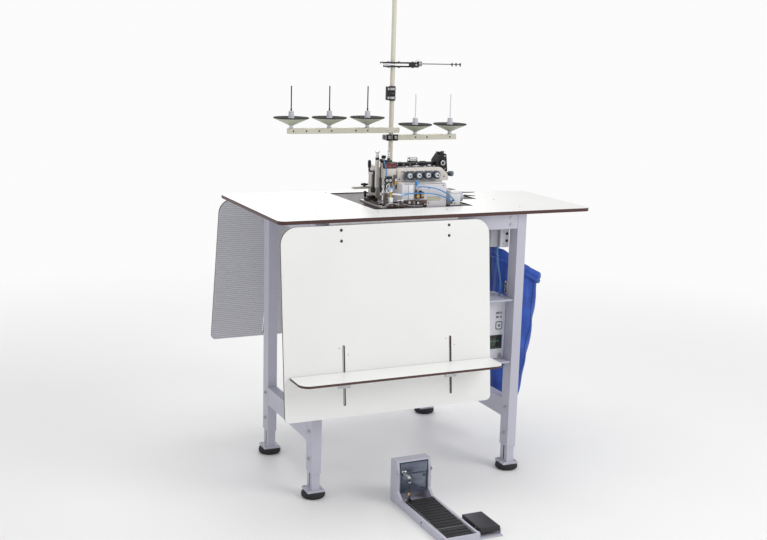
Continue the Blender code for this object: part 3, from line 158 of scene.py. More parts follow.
def mix_colours(tree, factor, first, second, low=0.35, high=0.65):
    """Two colours mixed by a texture's value between `low` and `high`."""
    ramp = add_node(tree, "ShaderNodeValToRGB")
    ramp.color_ramp.elements[0].position = low
    ramp.color_ramp.elements[0].color = (*first, 1)
    ramp.color_ramp.elements[1].position = high
    ramp.color_ramp.elements[1].color = (*second, 1)
    link(tree, factor, 0, ramp, "Fac")
    return ramp


def vary_roughness(tree, shader, factor, low, high):
    spread = add_node(tree, "ShaderNodeMapRange", To_Min=low, To_Max=high)
    link(tree, factor, 0, spread, "Value")
    link(tree, spread, "Result", shader, "Roughness")


def add_bump(tree, shader, factor, distance, strength=1.0, before=None):
    bump = add_node(tree, "ShaderNodeBump", Strength=strength, Distance=distance)
    link(tree, factor, 0, bump, "Height")
    if before:
        link(tree, before, "Normal", bump, "Normal")
    link(tree, bump, "Normal", shader, "Normal")
    return bump


def plain_finish(
    name, colour, rough=(0.3, 0.4), metallic=0.0, shade=0.9, mottle=9.0, grain=700.0, depth=0.00004,
    coat=0.0, stretch=(1, 1, 1), specular=0.5,
):
    """A surface whose colour drifts a little, with a fine grain and uneven gloss."""
    tree, shader = new_finish(name)
    place = place_node(tree, stretch)
    drift = noise_node(tree, place, mottle, 4.0)
    darker = tuple(part * shade for part in colour)
    link(tree, mix_colours(tree, drift, darker, colour), "Color", shader, "Base Color")
    fine = noise_node(tree, place, grain, 2.0)
    smears = noise_node(tree, place, mottle * 3.1, 5.0, 0.65)
    vary_roughness(tree, shader, smears, rough[0], rough[1])
    if depth:
        add_bump(tree, shader, fine, depth)
    shader.inputs["Metallic"].default_value = metallic
    shader.inputs["Specular IOR Level"].default_value = specular
    if coat:
        shader.inputs["Coat Weight"].default_value = coat
        shader.inputs["Coat Roughness"].default_value = 0.08
    return tree, shader


def ribbed_finish():
    """Laminate with fine ribs across its height, painted greyer than the plain laminate as painted shadow
    under the table top, and darker still in the furrows as painted shade.
    """
    tree, shader = new_finish("ribbed_laminate")
    place = place_node(tree)
    ribs = add_node(tree, "ShaderNodeTexWave", {"bands_direction": "Z"}, Scale=38.0, Distortion=0.0)
    link(tree, place, "Vector", ribs, "Vector")
    # Painted shadow: the whole face darker than the laminate, darkest in the furrows as painted shade.
    shade = mix_colours(tree, ribs, (0.47, 0.47, 0.51), (0.66, 0.66, 0.7), 0.1, 0.75)
    link(tree, shade, "Color", shader, "Base Color")
    add_bump(tree, shader, ribs, 0.0006)
    vary_roughness(tree, shader, noise_node(tree, place, 30.0), 0.45, 0.6)


def weave_finish(name, light, dark, threads=420.0, sheen=0.25):
    """Plain-woven cloth: crossed threads, soft creases of colour and a little sheen."""
    tree, shader = new_finish(name)
    place = place_node(tree)
    warp = add_node(tree, "ShaderNodeTexWave", {"bands_direction": "Z"}, Scale=threads, Distortion=0.6)
    weft = add_node(tree, "ShaderNodeTexWave", {"bands_direction": "DIAGONAL"}, Scale=threads, Distortion=0.6)
    for wave in (warp, weft):
        link(tree, place, "Vector", wave, "Vector")
    crossed = add_node(tree, "ShaderNodeMath", {"operation": "MULTIPLY"})
    link(tree, warp, "Fac", crossed, 0)
    link(tree, weft, "Fac", crossed, 1)
    clouds = noise_node(tree, place, 14.0, 6.0, 0.6)
    link(tree, mix_colours(tree, clouds, dark, light, 0.3, 0.68), "Color", shader, "Base Color")
    creases = noise_node(tree, place_node(tree, (1, 1, 0.35)), 34.0, 5.0, 0.6)
    folds = add_bump(tree, shader, creases, 0.0035, 0.55)
    add_bump(tree, shader, crossed, 0.0002, 0.6, folds)
    vary_roughness(tree, shader, clouds, 0.62, 0.8)
    shader.inputs["Sheen Weight"].default_value = sheen
    shader.inputs["Sheen Roughness"].default_value = 0.4


def clear_finish(name, colour, rough, transmission, ior=1.45):
    shader = plain_finish(name, colour, (rough, rough + 0.08), 0, 0.95, 20.0, 300.0, 0.00002)[1]
    shader.inputs["Transmission Weight"].default_value = transmission
    shader.inputs["IOR"].default_value = ior


def make_finishes():
    tree, shader = plain_finish("floor", (0.93, 0.93, 0.93), (0.5, 0.6), 0, 0.99, 2.0, 200.0, 0.0)
    # Far from the object the floor fades into the white backdrop.
    where = add_node(tree, "ShaderNodeTexCoord")
    reach = add_node(tree, "ShaderNodeVectorMath", {"operation": "LENGTH"})
    fade = add_node(
        tree, "ShaderNodeMapRange", {"interpolation_type": "SMOOTHSTEP"}, From_Min=1.3, From_Max=4.2
    )
    glow, both = add_node(tree, "ShaderNodeEmission", Strength=0.97), add_node(tree, "ShaderNodeMixShader")
    link(tree, where, "Object", reach, "Vector")
    link(tree, reach, "Value", fade, "Value")
    link(tree, fade, "Result", both, 0)
    link(tree, shader, "BSDF", both, 1)
    link(tree, glow, "Emission", both, 2)
    link(tree, both, "Shader", tree.nodes["Material Output"], "Surface")
    plain_finish("laminate", (0.87, 0.875, 0.865), (0.3, 0.42), 0, 0.975, 5.0, 900.0, 0.00003)
    plain_finish(
        "laminate_core", (0.085, 0.032, 0.028), (0.35, 0.5), 0, 0.6, 160.0, 900.0, 0.00008, stretch=(1, 1, 6)
    )
    ribbed_finish()
    plain_finish("powder_coat", (0.535, 0.535, 0.625), (0.42, 0.55), 0, 0.955, 6.0, 1100.0, 0.00009)
    # Paler powder coat for bevelled edges: partly edge wear, partly a painted highlight along every edge.
    plain_finish("powder_edge_wear_and_highlight", (0.6, 0.6, 0.68), (0.38, 0.5), 0, 0.93, 60.0, 1100.0, 0.00006)
    # Near-black painted shade, put inside slots, holes, vents, gaps and screw recesses where there is only
    # shade.
    plain_finish("slot_painted_shade", (0.035, 0.035, 0.045), (0.6, 0.8), 0, 0.7, 50.0)
    plain_finish("rubber", (0.026, 0.025, 0.029), (0.62, 0.8), 0, 0.75, 40.0, 500.0, 0.00012)
    plain_finish(
        "sunk_enamel", (0.04, 0.031, 0.038), (0.34, 0.5), 0, 0.8, 14.0, 500.0, 0.00004, specular=0.18
    )
    plain_finish("zinc", (0.6, 0.6, 0.62), (0.28, 0.48), 1.0, 0.82, 60.0, 900.0, 0.00004)
    plain_finish("chrome", (0.8, 0.8, 0.82), (0.06, 0.16), 1.0, 0.9, 40.0, 600.0, 0.00001)
    plain_finish("steel_dark", (0.15, 0.14, 0.14), (0.22, 0.42), 1.0, 0.6, 70.0, 800.0, 0.00005)
    plain_finish("bronze_dark", (0.11, 0.075, 0.07), (0.25, 0.45), 0.9, 0.6, 90.0, 800.0, 0.00005)
    plain_finish("brass", (0.72, 0.5, 0.2), (0.18, 0.32), 1.0, 0.8, 90.0, 900.0, 0.00003)
    plain_finish("black_oxide", (0.018, 0.019, 0.021), (0.24, 0.42), 0.4, 0.6, 60.0, 800.0, 0.00005)
    plain_finish("black_plastic", (0.02, 0.02, 0.022), (0.3, 0.42), 0, 0.7, 50.0, 900.0, 0.00004)
    plain_finish("cream_enamel", (0.66, 0.64, 0.535), (0.3, 0.42), 0, 0.95, 12.0, 900.0, 0.00004)
    plain_finish("dish_under", (0.43, 0.46, 0.36), (0.35, 0.5), 0, 0.9, 20.0, 600.0, 0.00005)
    plain_finish("dish_mat", (0.022, 0.022, 0.025), (0.75, 0.95), 0, 0.6, 90.0, 1500.0, 0.0004)
    plain_finish("hub_plastic", (0.7, 0.71, 0.78), (0.3, 0.42), 0, 0.95, 30.0, 700.0, 0.00003)
    plain_finish("head_enamel", (0.62, 0.575, 0.54), (0.24, 0.36), 0, 0.955, 16.0, 900.0, 0.00004, coat=0.3)
    plain_finish("cover_enamel", (0.7, 0.685, 0.71), (0.2, 0.34), 0, 0.96, 16.0, 900.0, 0.00003, coat=0.3)
    plain_finish("dial_panel", (0.17, 0.2, 0.235), (0.22, 0.4), 0.5, 0.8, 40.0, 800.0, 0.00004)
    plain_finish("dial_plastic", (0.115, 0.15, 0.185), (0.3, 0.42), 0.2, 0.8, 60.0, 900.0, 0.00005)
    plain_finish("white_plastic", (0.78, 0.79, 0.81), (0.28, 0.4), 0, 0.97, 20.0, 900.0, 0.00003)
    plain_finish("box_paint", (0.72, 0.73, 0.775), (0.35, 0.45), 0, 0.97, 14.0, 1100.0, 0.00007)
    plain_finish("grey_bracket", (0.45, 0.455, 0.49), (0.35, 0.5), 0.3, 0.9, 18.0, 900.0, 0.00006)
    plain_finish(
        "switch_enamel", (0.155, 0.185, 0.25), (0.16, 0.3), 0.45, 0.7, 26.0, 900.0, 0.00006, coat=0.4
    )
    plain_finish("red_window", (0.16, 0.018, 0.018), (0.08, 0.16), 0, 0.45, 120.0, 500.0, 0.00002, coat=0.6)
    plain_finish("blue_plastic", (0.03, 0.27, 0.7), (0.25, 0.35), 0, 0.9, 60.0)
    plain_finish("pale_blue", (0.32, 0.55, 0.88), (0.25, 0.4), 0, 0.9, 60.0)
    plain_finish("plate_beige", (0.5, 0.48, 0.36), (0.2, 0.3), 0.2, 0.95, 60.0, 900.0, 0.00002)
    plain_finish("screen", (0.012, 0.014, 0.016), (0.08, 0.14), 0, 0.8, 60.0, 500.0, 0.0, coat=0.5)
    plain_finish("pilot_green", (0.05, 0.42, 0.12), (0.2, 0.3), 0, 0.9, 60.0)
    plain_finish("mark_grey", (0.2, 0.2, 0.22), (0.4, 0.5), 0, 0.9, 60.0)
    plain_finish("cable", (0.02, 0.02, 0.022), (0.42, 0.55), 0, 0.8, 50.0, 600.0, 0.00004)
    clear_finish("hose_blue", (0.1, 0.36, 0.74), 0.12, 0.35)
    clear_finish("clear_plastic", (0.86, 0.87, 0.86), 0.08, 0.75)
    weave_finish("bag_cloth", (0.032, 0.108, 0.52), (0.014, 0.052, 0.3))
    weave_finish("bag_lining", (0.27, 0.31, 0.66), (0.19, 0.22, 0.52), 420.0, 0.4)
    weave_finish("webbing", (0.022, 0.075, 0.36), (0.012, 0.04, 0.21), 900.0, 0.2)


# Building pieces


class Piece:
    """A mesh put together from bevelled blocks, turned shapes, prisms and tubes, each with its own finish."""

    def __init__(self):
        self.shape = bmesh.new()
        self.finishes = []

    def paint(self, faces, finish):
        if finish not in self.finishes:
            self.finishes.append(finish)
        index = self.finishes.index(finish)
        for face in faces:
            face.material_index = index

    def block(self, low, high, finish, bevel=0.001, turn=None, about=None, segments=2):
        """A box between two corners with rounded edges, turned about a point."""
        low, high = Vector(low), Vector(high)
        made = bmesh.new()
        place = Matrix.Translation((low + high) / 2) @ Matrix.Diagonal((*(high - low), 1))
        bmesh.ops.create_cube(made, size=1, matrix=place)
        smallest = min(high - low)
        bevel = min(bevel, smallest * 0.45)
        if bevel > 0:
            bmesh.ops.bevel(
                made, geom=made.edges[:], offset=bevel, segments=segments, profile=0.5, affect="EDGES"
            )
        self.take(made, finish, turn, about)
        return self

    def turned(self, profile, at, axis, finish, steps=24, loop=False):
        """A closed shape of (radius, distance along) points turned round the axis, or a ring if `loop`."""
        made = bmesh.new()
        axis = Vector(axis).normalized()
        turn = axis.to_track_quat("Z", "Y").to_matrix()
        rings = []
        for radius, along in profile:
            if radius < 1e-7:
                rings.append([made.verts.new(turn @ Vector((0, 0, along)) + Vector(at))])
                continue
            ring = []
            for i in range(steps):
                angle = 2 * math.pi * i / steps
                point = Vector((radius * math.cos(angle), radius * math.sin(angle), along))
                ring.append(made.verts.new(turn @ point + Vector(at)))
            rings.append(ring)
        for a, b in zip(rings, rings[1:] + (rings[:1] if loop else [])):
            for i in range(steps):
                j = (i + 1) % steps
                corners = [a[i % len(a)], a[j % len(a)], b[j % len(b)], b[i % len(b)]]
                unique = list(dict.fromkeys(corners))
                if len(unique) > 2:
                    made.faces.new(unique)
        for ring in (rings[0], rings[-1]):
            if len(ring) > 1 and not loop:
                made.faces.new(ring)
        bmesh.ops.recalc_face_normals(made, faces=made.faces)
        self.take(made, finish)
        return self

    def prism(self, outline, at, across, up, depth, finish, bevel=0.0, segments=2):
        """A flat outline in the plane of `across` and `up`, given thickness along their cross product."""
        made = bmesh.new()
        across, up = Vector(across), Vector(up)
        out = across.cross(up).normalized() * depth
        base = [made.verts.new(Vector(at) + across * x + up * y) for x, y in outline]
        far = [made.verts.new(v.co + out) for v in base]
        made.faces.new(list(reversed(base)))
        made.faces.new(far)
        for i in range(len(base)):
            j = (i + 1) % len(base)
            made.faces.new((base[i], base[j], far[j], far[i]))
        bmesh.ops.recalc_face_normals(made, faces=made.faces)
        if bevel:
            rim = [e for e in made.edges if len(e.link_faces) == 2 and e.calc_face_angle(0) > 0.6]
            bmesh.ops.bevel(made, geom=rim, offset=bevel, segments=segments, profile=0.5, affect="EDGES")
        self.take(made, finish)
        return self

    def tube(self, points, radius, finish, sides=10, closed=False):
        """A round tube along the points, with closed ends."""
        points = [Vector(p) for p in points]
        made = bmesh.new()
        count = len(points)
        rings = []
        normal = None
        for i, point in enumerate(points):
            before = points[i - 1] if (i or closed) else points[i]
            after = points[(i + 1) % count] if (i + 1 < count or closed) else points[i]
            along = (after - before).normalized()
            if normal is None:
                normal = along.orthogonal().normalized()
            normal = (normal - along * normal.dot(along)).normalized()
            side = along.cross(normal)
            size = radius(i / max(1, count - 1)) if callable(radius) else radius
            ring = []
            for k in range(sides):
                angle = 2 * math.pi * k / sides
                reach = (normal * math.cos(angle) + side * math.sin(angle)) * size
                ring.append(made.verts.new(point + reach))
            rings.append(ring)
        pairs = list(zip(rings, rings[1:]))
        if closed:
            pairs.append((rings[-1], rings[0]))
        for a, b in pairs:
            for k in range(sides):
                m = (k + 1) % sides
                made.faces.new((a[k], a[m], b[m], b[k]))
        if not closed:
            made.faces.new(rings[0])
            made.faces.new(rings[-1])
        bmesh.ops.recalc_face_normals(made, faces=made.faces)
        self.take(made, finish)
        return self

    def take(self, made, finish, turn=None, about=None):
        if turn is not None:
            about = Vector(about) if about is not None else Vector((0, 0, 0))
            matrix = Matrix.Translation(about) @ turn.to_4x4() @ Matrix.Translation(-about)
            bmesh.ops.transform(made, matrix=matrix, verts=made.verts)
        self.paint(made.faces, finish)
        mesh = bpy.data.meshes.new("part")
        made.to_mesh(mesh)
        made.free()
        self.shape.from_mesh(mesh)
        bpy.data.meshes.remove(mesh)

    def done(self, name, body, smooth=32):
        mesh = bpy.data.meshes.new(name)
        self.shape.to_mesh(mesh)
        self.shape.free()
        for finish in self.finishes:
            mesh.materials.append(finishes[finish])
        mesh.shade_smooth()
        mesh.set_sharp_from_angle(angle=math.radians(smooth))
        made = bpy.data.objects.new(name, mesh)
        bpy.context.scene.collection.objects.link(made)
        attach(made, body)
        return made


def screw(piece, at, out, radius, finish="zinc", kind="cross", height=None):
    """A screw head with its recess: cross, slot, or a socket for a hexagon key."""
    at, out = Vector(at), Vector(out).normalized()
    height = height or radius * 0.55
    if kind == "socket":
        profile = [
            (radius, 0),
            (radius, height * 0.8),
            (radius * 0.88, height),
            (radius * 0.55, height),
            (radius * 0.5, height * 0.9),
            (radius * 0.5, height * 0.35),
            (0, height * 0.3),
        ]
        piece.turned([(0, -radius * 0.2), (radius, -radius * 0.2)] + profile, at, out, finish, 18)
        # The socket's floor is a dark plug of painted shade.
        piece.turned(
            [(0, 0), (radius * 0.47, 0), (radius * 0.47, height * 0.4), (0, height * 0.4)], at, out,
            "slot_painted_shade", 6,
        )
        return
    if kind == "hex":
        piece.turned(
            [
                (0, -radius * 0.2), (radius, -radius * 0.2), (radius, height * 0.8), (radius * 0.82, height),
                (0, height),
            ],
            at, out, finish, 6,
        )
        piece.turned(
            [(0, -0.0004), (radius * 1.35, -0.0004), (radius * 1.35, 0.0006), (0, 0.0006)], at, out, finish,
            20,
        )
        return
    profile = [(0, -radius * 0.2), (radius, -radius * 0.2), (radius, 0)]
    for i in range(1, 5):
        angle = math.radians(90 * i / 4)
        profile.append((radius * math.cos(angle) if i < 4 else 0, height * math.sin(angle)))
    piece.turned(profile, at, out, finish, 18)
    side = out.orthogonal().normalized()
    other = out.cross(side)
    reach, thin = radius * 0.62, radius * 0.13
    arms = [(side, other)] if kind == "slot" else [(side, other), (other, -side)]
    # The cross or slot is drawn as dark bars of painted shade on the head.
    for along, across in arms:
        corners = [(-reach, -thin), (reach, -thin), (reach, thin), (-reach, thin)]
        piece.prism(corners, at + out * height * 0.78, along, across, height * 0.24, "slot_painted_shade")


def dress(name, finish_names, choose=None, bevel=0.0, edge=None, segments=2, smooth=35):
    """Gives a CAD node its finishes, chosen face by face, and softens its edges with a Bevel modifier."""
    node = nodes[name]
    node.data.materials.clear()
    for finish in finish_names:
        node.data.materials.append(finishes[finish])
    for polygon in node.data.polygons:
        polygon.material_index = choose(polygon) if choose else 0
    node.data.shade_smooth()
    node.data.set_sharp_from_angle(angle=math.radians(smooth))
    if bevel:
        change = node.modifiers.new("edges", "BEVEL")
        change.width = bevel
        change.segments = segments
        change.limit_method = "ANGLE"
        change.angle_limit = math.radians(50)
        change.use_clamp_overlap = True
        change.harden_normals = False
        # The bevel faces take finish `edge`: the laminate's dark core, or the paler powder coat that is
        # partly edge wear and partly a painted highlight.
        if edge is not None:
            change.material = edge
    return node


def facing(direction, share=0.7):
    """Chooses finish 0 for faces that look along or against the direction, and finish 1 for the rest."""
    direction = Vector(direction).normalized()
    return lambda polygon: 0 if abs(polygon.normal.dot(direction)) > share else 1


def arc(centre, radius, start, end, steps):
    """Points on an arc in degrees, as (x, y) pairs."""
    points = []
    for i in range(steps + 1):
        angle = math.radians(start + (end - start) * i / steps)
        points.append((centre[0] + radius * math.cos(angle), centre[1] + radius * math.sin(angle)))
    return points


def full_turn(count):
    return [2 * math.pi * k / count for k in range(count)]


def oval(centre, across, up, wide, tall, angles):
    """Points at angles round an oval that lies in the plane of two directions."""
    centre = Vector(centre)
    return [centre + across * wide * math.cos(a) + up * tall * math.sin(a) for a in angles]


def round_outline(left, right, low, high, radius, steps=4):
    return (
        arc((right - radius, low + radius), radius, -90, 0, steps)
        + arc((right - radius, high - radius), radius, 0, 90, steps)
        + arc((left + radius, high - radius), radius, 90, 180, steps)
        + arc((left + radius, low + radius), radius, 180, 270, steps)
    )


def smooth_path(points, steps=6):
    """Points read from a smooth curve through the given ones."""
    route = [Vector(p) for p in points]
    route = [2 * route[0] - route[1]] + route + [2 * route[-1] - route[-2]]
    found = []
    for a, b, c, d in zip(route, route[1:], route[2:], route[3:]):
        for step in range(steps):
            t = step / steps
            square, cube = 2 * a - 5 * b + 4 * c - d, 3 * b - a - 3 * c + d
            found.append(0.5 * (2 * b + (c - a) * t + square * t**2 + cube * t**3))
    found.append(route[-2])
    return found


# Table, aprons and frame

LEG_NAMES = ("front_left", "rear_left", "front_right", "rear_right")
HINGE_SCREWS_X = (-0.388, 0.012)


def dress_table():
    dress("table_top", ["laminate", "laminate_core"], facing(Z), 0.0009, 1)
    dress("sunk_plate", ["sunk_enamel"], None, 0.0012)
    dress("front_shelf", ["laminate", "laminate_core"], facing(Z), 0.0009, 1)
    low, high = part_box("table_top")
    piece = Piece()
    for x, y in (
        (low.x + 0.172, high.y - 0.0645),
        (low.x + 0.175, high.y - 0.3045),
        (low.x + 0.171, low.y + 0.1165),
        (low.x + 0.4, high.y - 0.0605),
        (low.x + 0.397, low.y + 0.1095),
        (low.x + 0.66, low.y + 0.0995),
        (high.x - 0.246, high.y - 0.3815),
        (high.x - 0.25, low.y + 0.0885),
    ):
        screw(piece, (x, y, high.z + 0.0001), Z, 0.0042, "zinc", "cross", 0.0009)
    piece.done("table_screws", "station")

    low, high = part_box("sunk_plate")
    piece = Piece()
    corners = [(-0.178, 0.01), (-0.178, 0.412), (0.188, 0.014), (0.188, 0.408), (0.286, 0.16), (0.286, 0.272)]
    for x, y in corners:
        screw(piece, (x, y, high.z + 0.0001), Z, 0.0038, "steel_dark", "cross", 0.0008)
    piece.done("sunk_plate_screws", "station")


def panel_frame(pivot_y, tilt):
    """The outward normal and the downward direction of an apron."""
    outward = -1 if pivot_y < 0.1 else 1
    out = Vector((0, outward * math.cos(tilt), math.sin(tilt)))
    down = Vector((0, outward * math.sin(tilt), -math.cos(tilt)))
    return out, down


def dress_aprons():
    front_tilt, rear_tilt = math.radians(5.8), math.radians(12.0)
    pivot_z = 0.964
    thickness = 0.008
    front_out, front_down = panel_frame(-0.1655, front_tilt)
    rear_out, rear_down = panel_frame(0.5085, rear_tilt)
    dress("front_panel", ["laminate", "laminate_core"], facing(front_out), 0.0009, 1)
    # The outer face is plain laminate. The inner face, under the table top, takes the ribbed finish with its
    # painted shadow and painted shade.
    dress(
        "rear_panel",
        ["laminate", "laminate_core", "ribbed_laminate"],
        lambda p: 1 if abs(p.normal.dot(rear_out)) < 0.7 else (0 if p.normal.dot(rear_out) > 0 else 2),
        0.0009,
        1,
    )
    for name in ("front_hinge", "rear_hinge", "shelf_bracket_left", "shelf_bracket_right"):
        dress(name, ["zinc"], None, 0.0006)
    for name, pivot_y, out, down in (
        ("front", -0.1655, front_out, front_down),
        ("rear", 0.5085, rear_out, rear_down),
    ):
        piece = Piece()
        pivot = Vector((0, pivot_y, pivot_z))
        slots = (0.401, 0.604) if name == "front" else (0.382, 0.572)
        for x in HINGE_SCREWS_X:
            for drop in (0.016, 0.052):
                at = pivot + X * x + down * drop + out * thickness / 2
                screw(piece, at, out, 0.0052, "bronze_dark", "cross", 0.0022)
            for side in (-1, 1):
                drop = slots[0] + 0.02
                # Sunk in the panel, so that the shelf's brackets slide over them.
                at = pivot + X * (x + side * 0.016) + down * (drop + 0.012 * side) + out * (
                    thickness / 2 - 0.001
                )
                screw(piece, at, out, 0.0032, "bronze_dark", "cross", 0.0011)
            outline = round_outline(-0.0042, 0.0042, -slots[1] - 0.001, -slots[0] + 0.001, 0.0041, 5)
            inner = round_outline(-0.0024, 0.0024, -slots[1], -slots[0], 0.0023, 5)
            trim(piece, pivot + X * x, out, down, outline, inner, thickness)
        piece.done(name + "_apron_fittings", name + "_apron")

    piece = Piece()
    for x in HINGE_SCREWS_X:
        pivot = Vector((x, -0.1655, pivot_z))
        at = pivot + front_down * 0.521 + front_out * 0.0078
        screw(piece, at, front_out, 0.0062, "zinc", "hex", 0.004)
        behind = pivot + front_down * 0.521 - front_out * 0.0042
        piece.turned([(0, 0), (0.0075, 0), (0.0075, 0.0012), (0, 0.0012)], behind, -front_out, "zinc", 20)
        piece.turned(
            [
                (0, 0.001), (0.006, 0.001), (0.006, 0.005), (0.0045, 0.006), (0.0022, 0.006), (0.0022, 0.01),
                (0, 0.0105),
            ],
            behind, -front_out, "zinc", 6,
        )
    shelf_low, shelf_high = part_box("front_shelf")
    for x in HINGE_SCREWS_X:
        for y in (0.025, 0.058):
            screw(piece, (x, shelf_high.y - y, shelf_low.z - 0.0034), -Z, 0.0038, "zinc", "cross", 0.0018)
    piece.done("shelf_fasteners", "shelf")

    piece = Piece()
    for name, side in (("front_hinge", 1), ("rear_hinge", -1)):
        low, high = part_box(name)
        middle_y = (low.y + high.y) / 2
        for i in range(6):
            x = low.x + 0.02 + (high.x - low.x - 0.04) * i / 5
            screw(piece, (x, middle_y, high.z - 0.003), -Z, 0.0036, "zinc", "cross", 0.0016)
    piece.done("hinge_screws", "station")


def trim(piece, pivot, out, down, outline, inner, thickness):
    """A thin dark edging ring round a slot, just proud of the panel's outer face."""
    made = bmesh.new()
    up = -down
    rows = []
    for ring, lift in ((outline, -0.0003), (outline, 0.0005), (inner, 0.0007), (inner, -0.0003)):
        rows.append([made.verts.new(pivot + X * x + up * y + out * (thickness / 2 + lift)) for x, y in ring])
    count = len(outline)
    for a, b in zip(rows, rows[1:] + rows[:1]):
        for i in range(count):
            j = (i + 1) % count
            made.faces.new((a[i], a[j], b[j], b[i]))
    bmesh.ops.recalc_face_normals(made, faces=made.faces)
    piece.take(made, "bronze_dark")


def dress_frame():
    # The bevels take the paler powder coat: partly edge wear, partly a painted highlight along every edge.
    for name in ("left_frame", "right_frame", "front_rail"):
        dress(name, ["powder_coat", "powder_edge_wear_and_highlight"], None, 0.0022, 1, 3)
    for corner in LEG_NAMES:
        dress("inner_leg_" + corner, ["powder_coat", "powder_edge_wear_and_highlight"], None, 0.0011, 1)
        dress("foot_" + corner, ["rubber"], None, 0.0012, None, 2, 50)
        low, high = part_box("foot_" + corner)
        centre = Vector(((low.x + high.x) / 2, (low.y + high.y) / 2, 0))
        piece = Piece()
        for level in (0.0075, 0.0125):
            points = [centre + Vector((x, y, level)) for x, y in arc((0, 0), 0.0412, 0, 352, 44)]
            piece.tube(points, 0.0009, "rubber", 6, True)
        for dx, dy in ((-0.024, -0.024), (0.024, -0.024), (-0.024, 0.024), (0.024, 0.024)):
            at = centre + Vector((dx, dy, high.z + 0.0083))
            screw(piece, at, Z, 0.004, "zinc", "socket", 0.003)
        piece.done("foot_fittings_" + corner, "inner_leg_" + corner)

    piece = Piece()
    for side in ("left", "right"):
        low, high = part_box(side + "_frame")
        for front in (True, False):
            y = low.y + 0.0275 if front else high.y - 0.0275
            for z in (0.24, 0.14):
                face_x = low.x if side == "left" else high.x - 0.035
                at = Vector((face_x, y, z))
                piece.turned(
                    [(0, 0), (0.0085, 0), (0.0085, 0.001), (0.0075, 0.0016), (0, 0.0016)], at, -X, "zinc", 24
                )
                screw(piece, at - X * 0.0014, -X, 0.0058, "zinc", "socket", 0.0052)
            # Weld beads where the lower beam and the top bar meet the leg.
            inward = 1 if front else -1
            edge = y + inward * 0.0285
            for z_low, z_high in ((0.199, 0.267), (0.915, 0.971)):
                for x in (face_x, face_x + 0.035):
                    bead = []
                    for i in range(22):
                        z = z_low + (z_high - z_low) * i / 21
                        bead.append(Vector((x, edge + 0.0002 * math.sin(i * 2.3), z)))
                    piece.tube(bead, 0.0011, "powder_coat", 8)
    low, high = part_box("front_rail")
    for x in (low.x + 0.028, high.x - 0.028):
        for z in (low.z + 0.016, high.z - 0.016):
            screw(piece, (x, low.y - 0.0002, z), -Y, 0.0055, "zinc", "hex", 0.0035)
    piece.done("frame_bolts", "station")

# Thread stand

STATION_Y = 0.1715
POLE = (0.08, 0.297 + STATION_Y)


def st(x, y, z):
    """A point measured from the middle of the table, in the row's frame."""
    return Vector((x, y + STATION_Y, z))


def disc(radius, height, rounding=0.0):
    """The profile of a flat round piece whose outer edge is eased."""
    return [
        (0, 0), (radius, 0), (radius, height - rounding), (radius - rounding * 0.3, height - rounding * 0.3),
        (radius - rounding, height), (0, height),
    ]


def knurl(piece, at, axis, radius, length, finish, count=28, depth=0.0005):
    """Fine ridges along a round grip."""
    axis = Vector(axis).normalized()
    side = axis.orthogonal().normalized()
    for i in range(count):
        turn = Matrix.Rotation(2 * math.pi * i / count, 3, axis)
        out = turn @ side
        across = axis.cross(out)
        width = math.pi * radius / count * 0.5
        corners = [(-width, -depth), (width, -depth), (width * 0.45, depth), (-width * 0.45, depth)]
        piece.prism(
            corners, Vector(at) + out * radius, across, out,
            -length if across.cross(out).dot(axis) < 0 else length, finish,
        )


def holder_finish(name):
    low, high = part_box(name)
    middle_x, middle_y = (low.x + high.x) / 2, (low.y + high.y) / 2
    node = nodes[name]

    def choose(polygon):
        place = node.matrix_world @ polygon.center
        height, reach = place.z - low.z, math.hypot(place.x - middle_x, place.y - middle_y)
        if height > 0.0625:
            return 0
        if height > 0.0185 and reach < 0.0142:
            return 1
        if height > 0.0105 or reach > 0.0142:
            return 2 if polygon.normal.z > 0.2 else 3
        return 4

    return choose


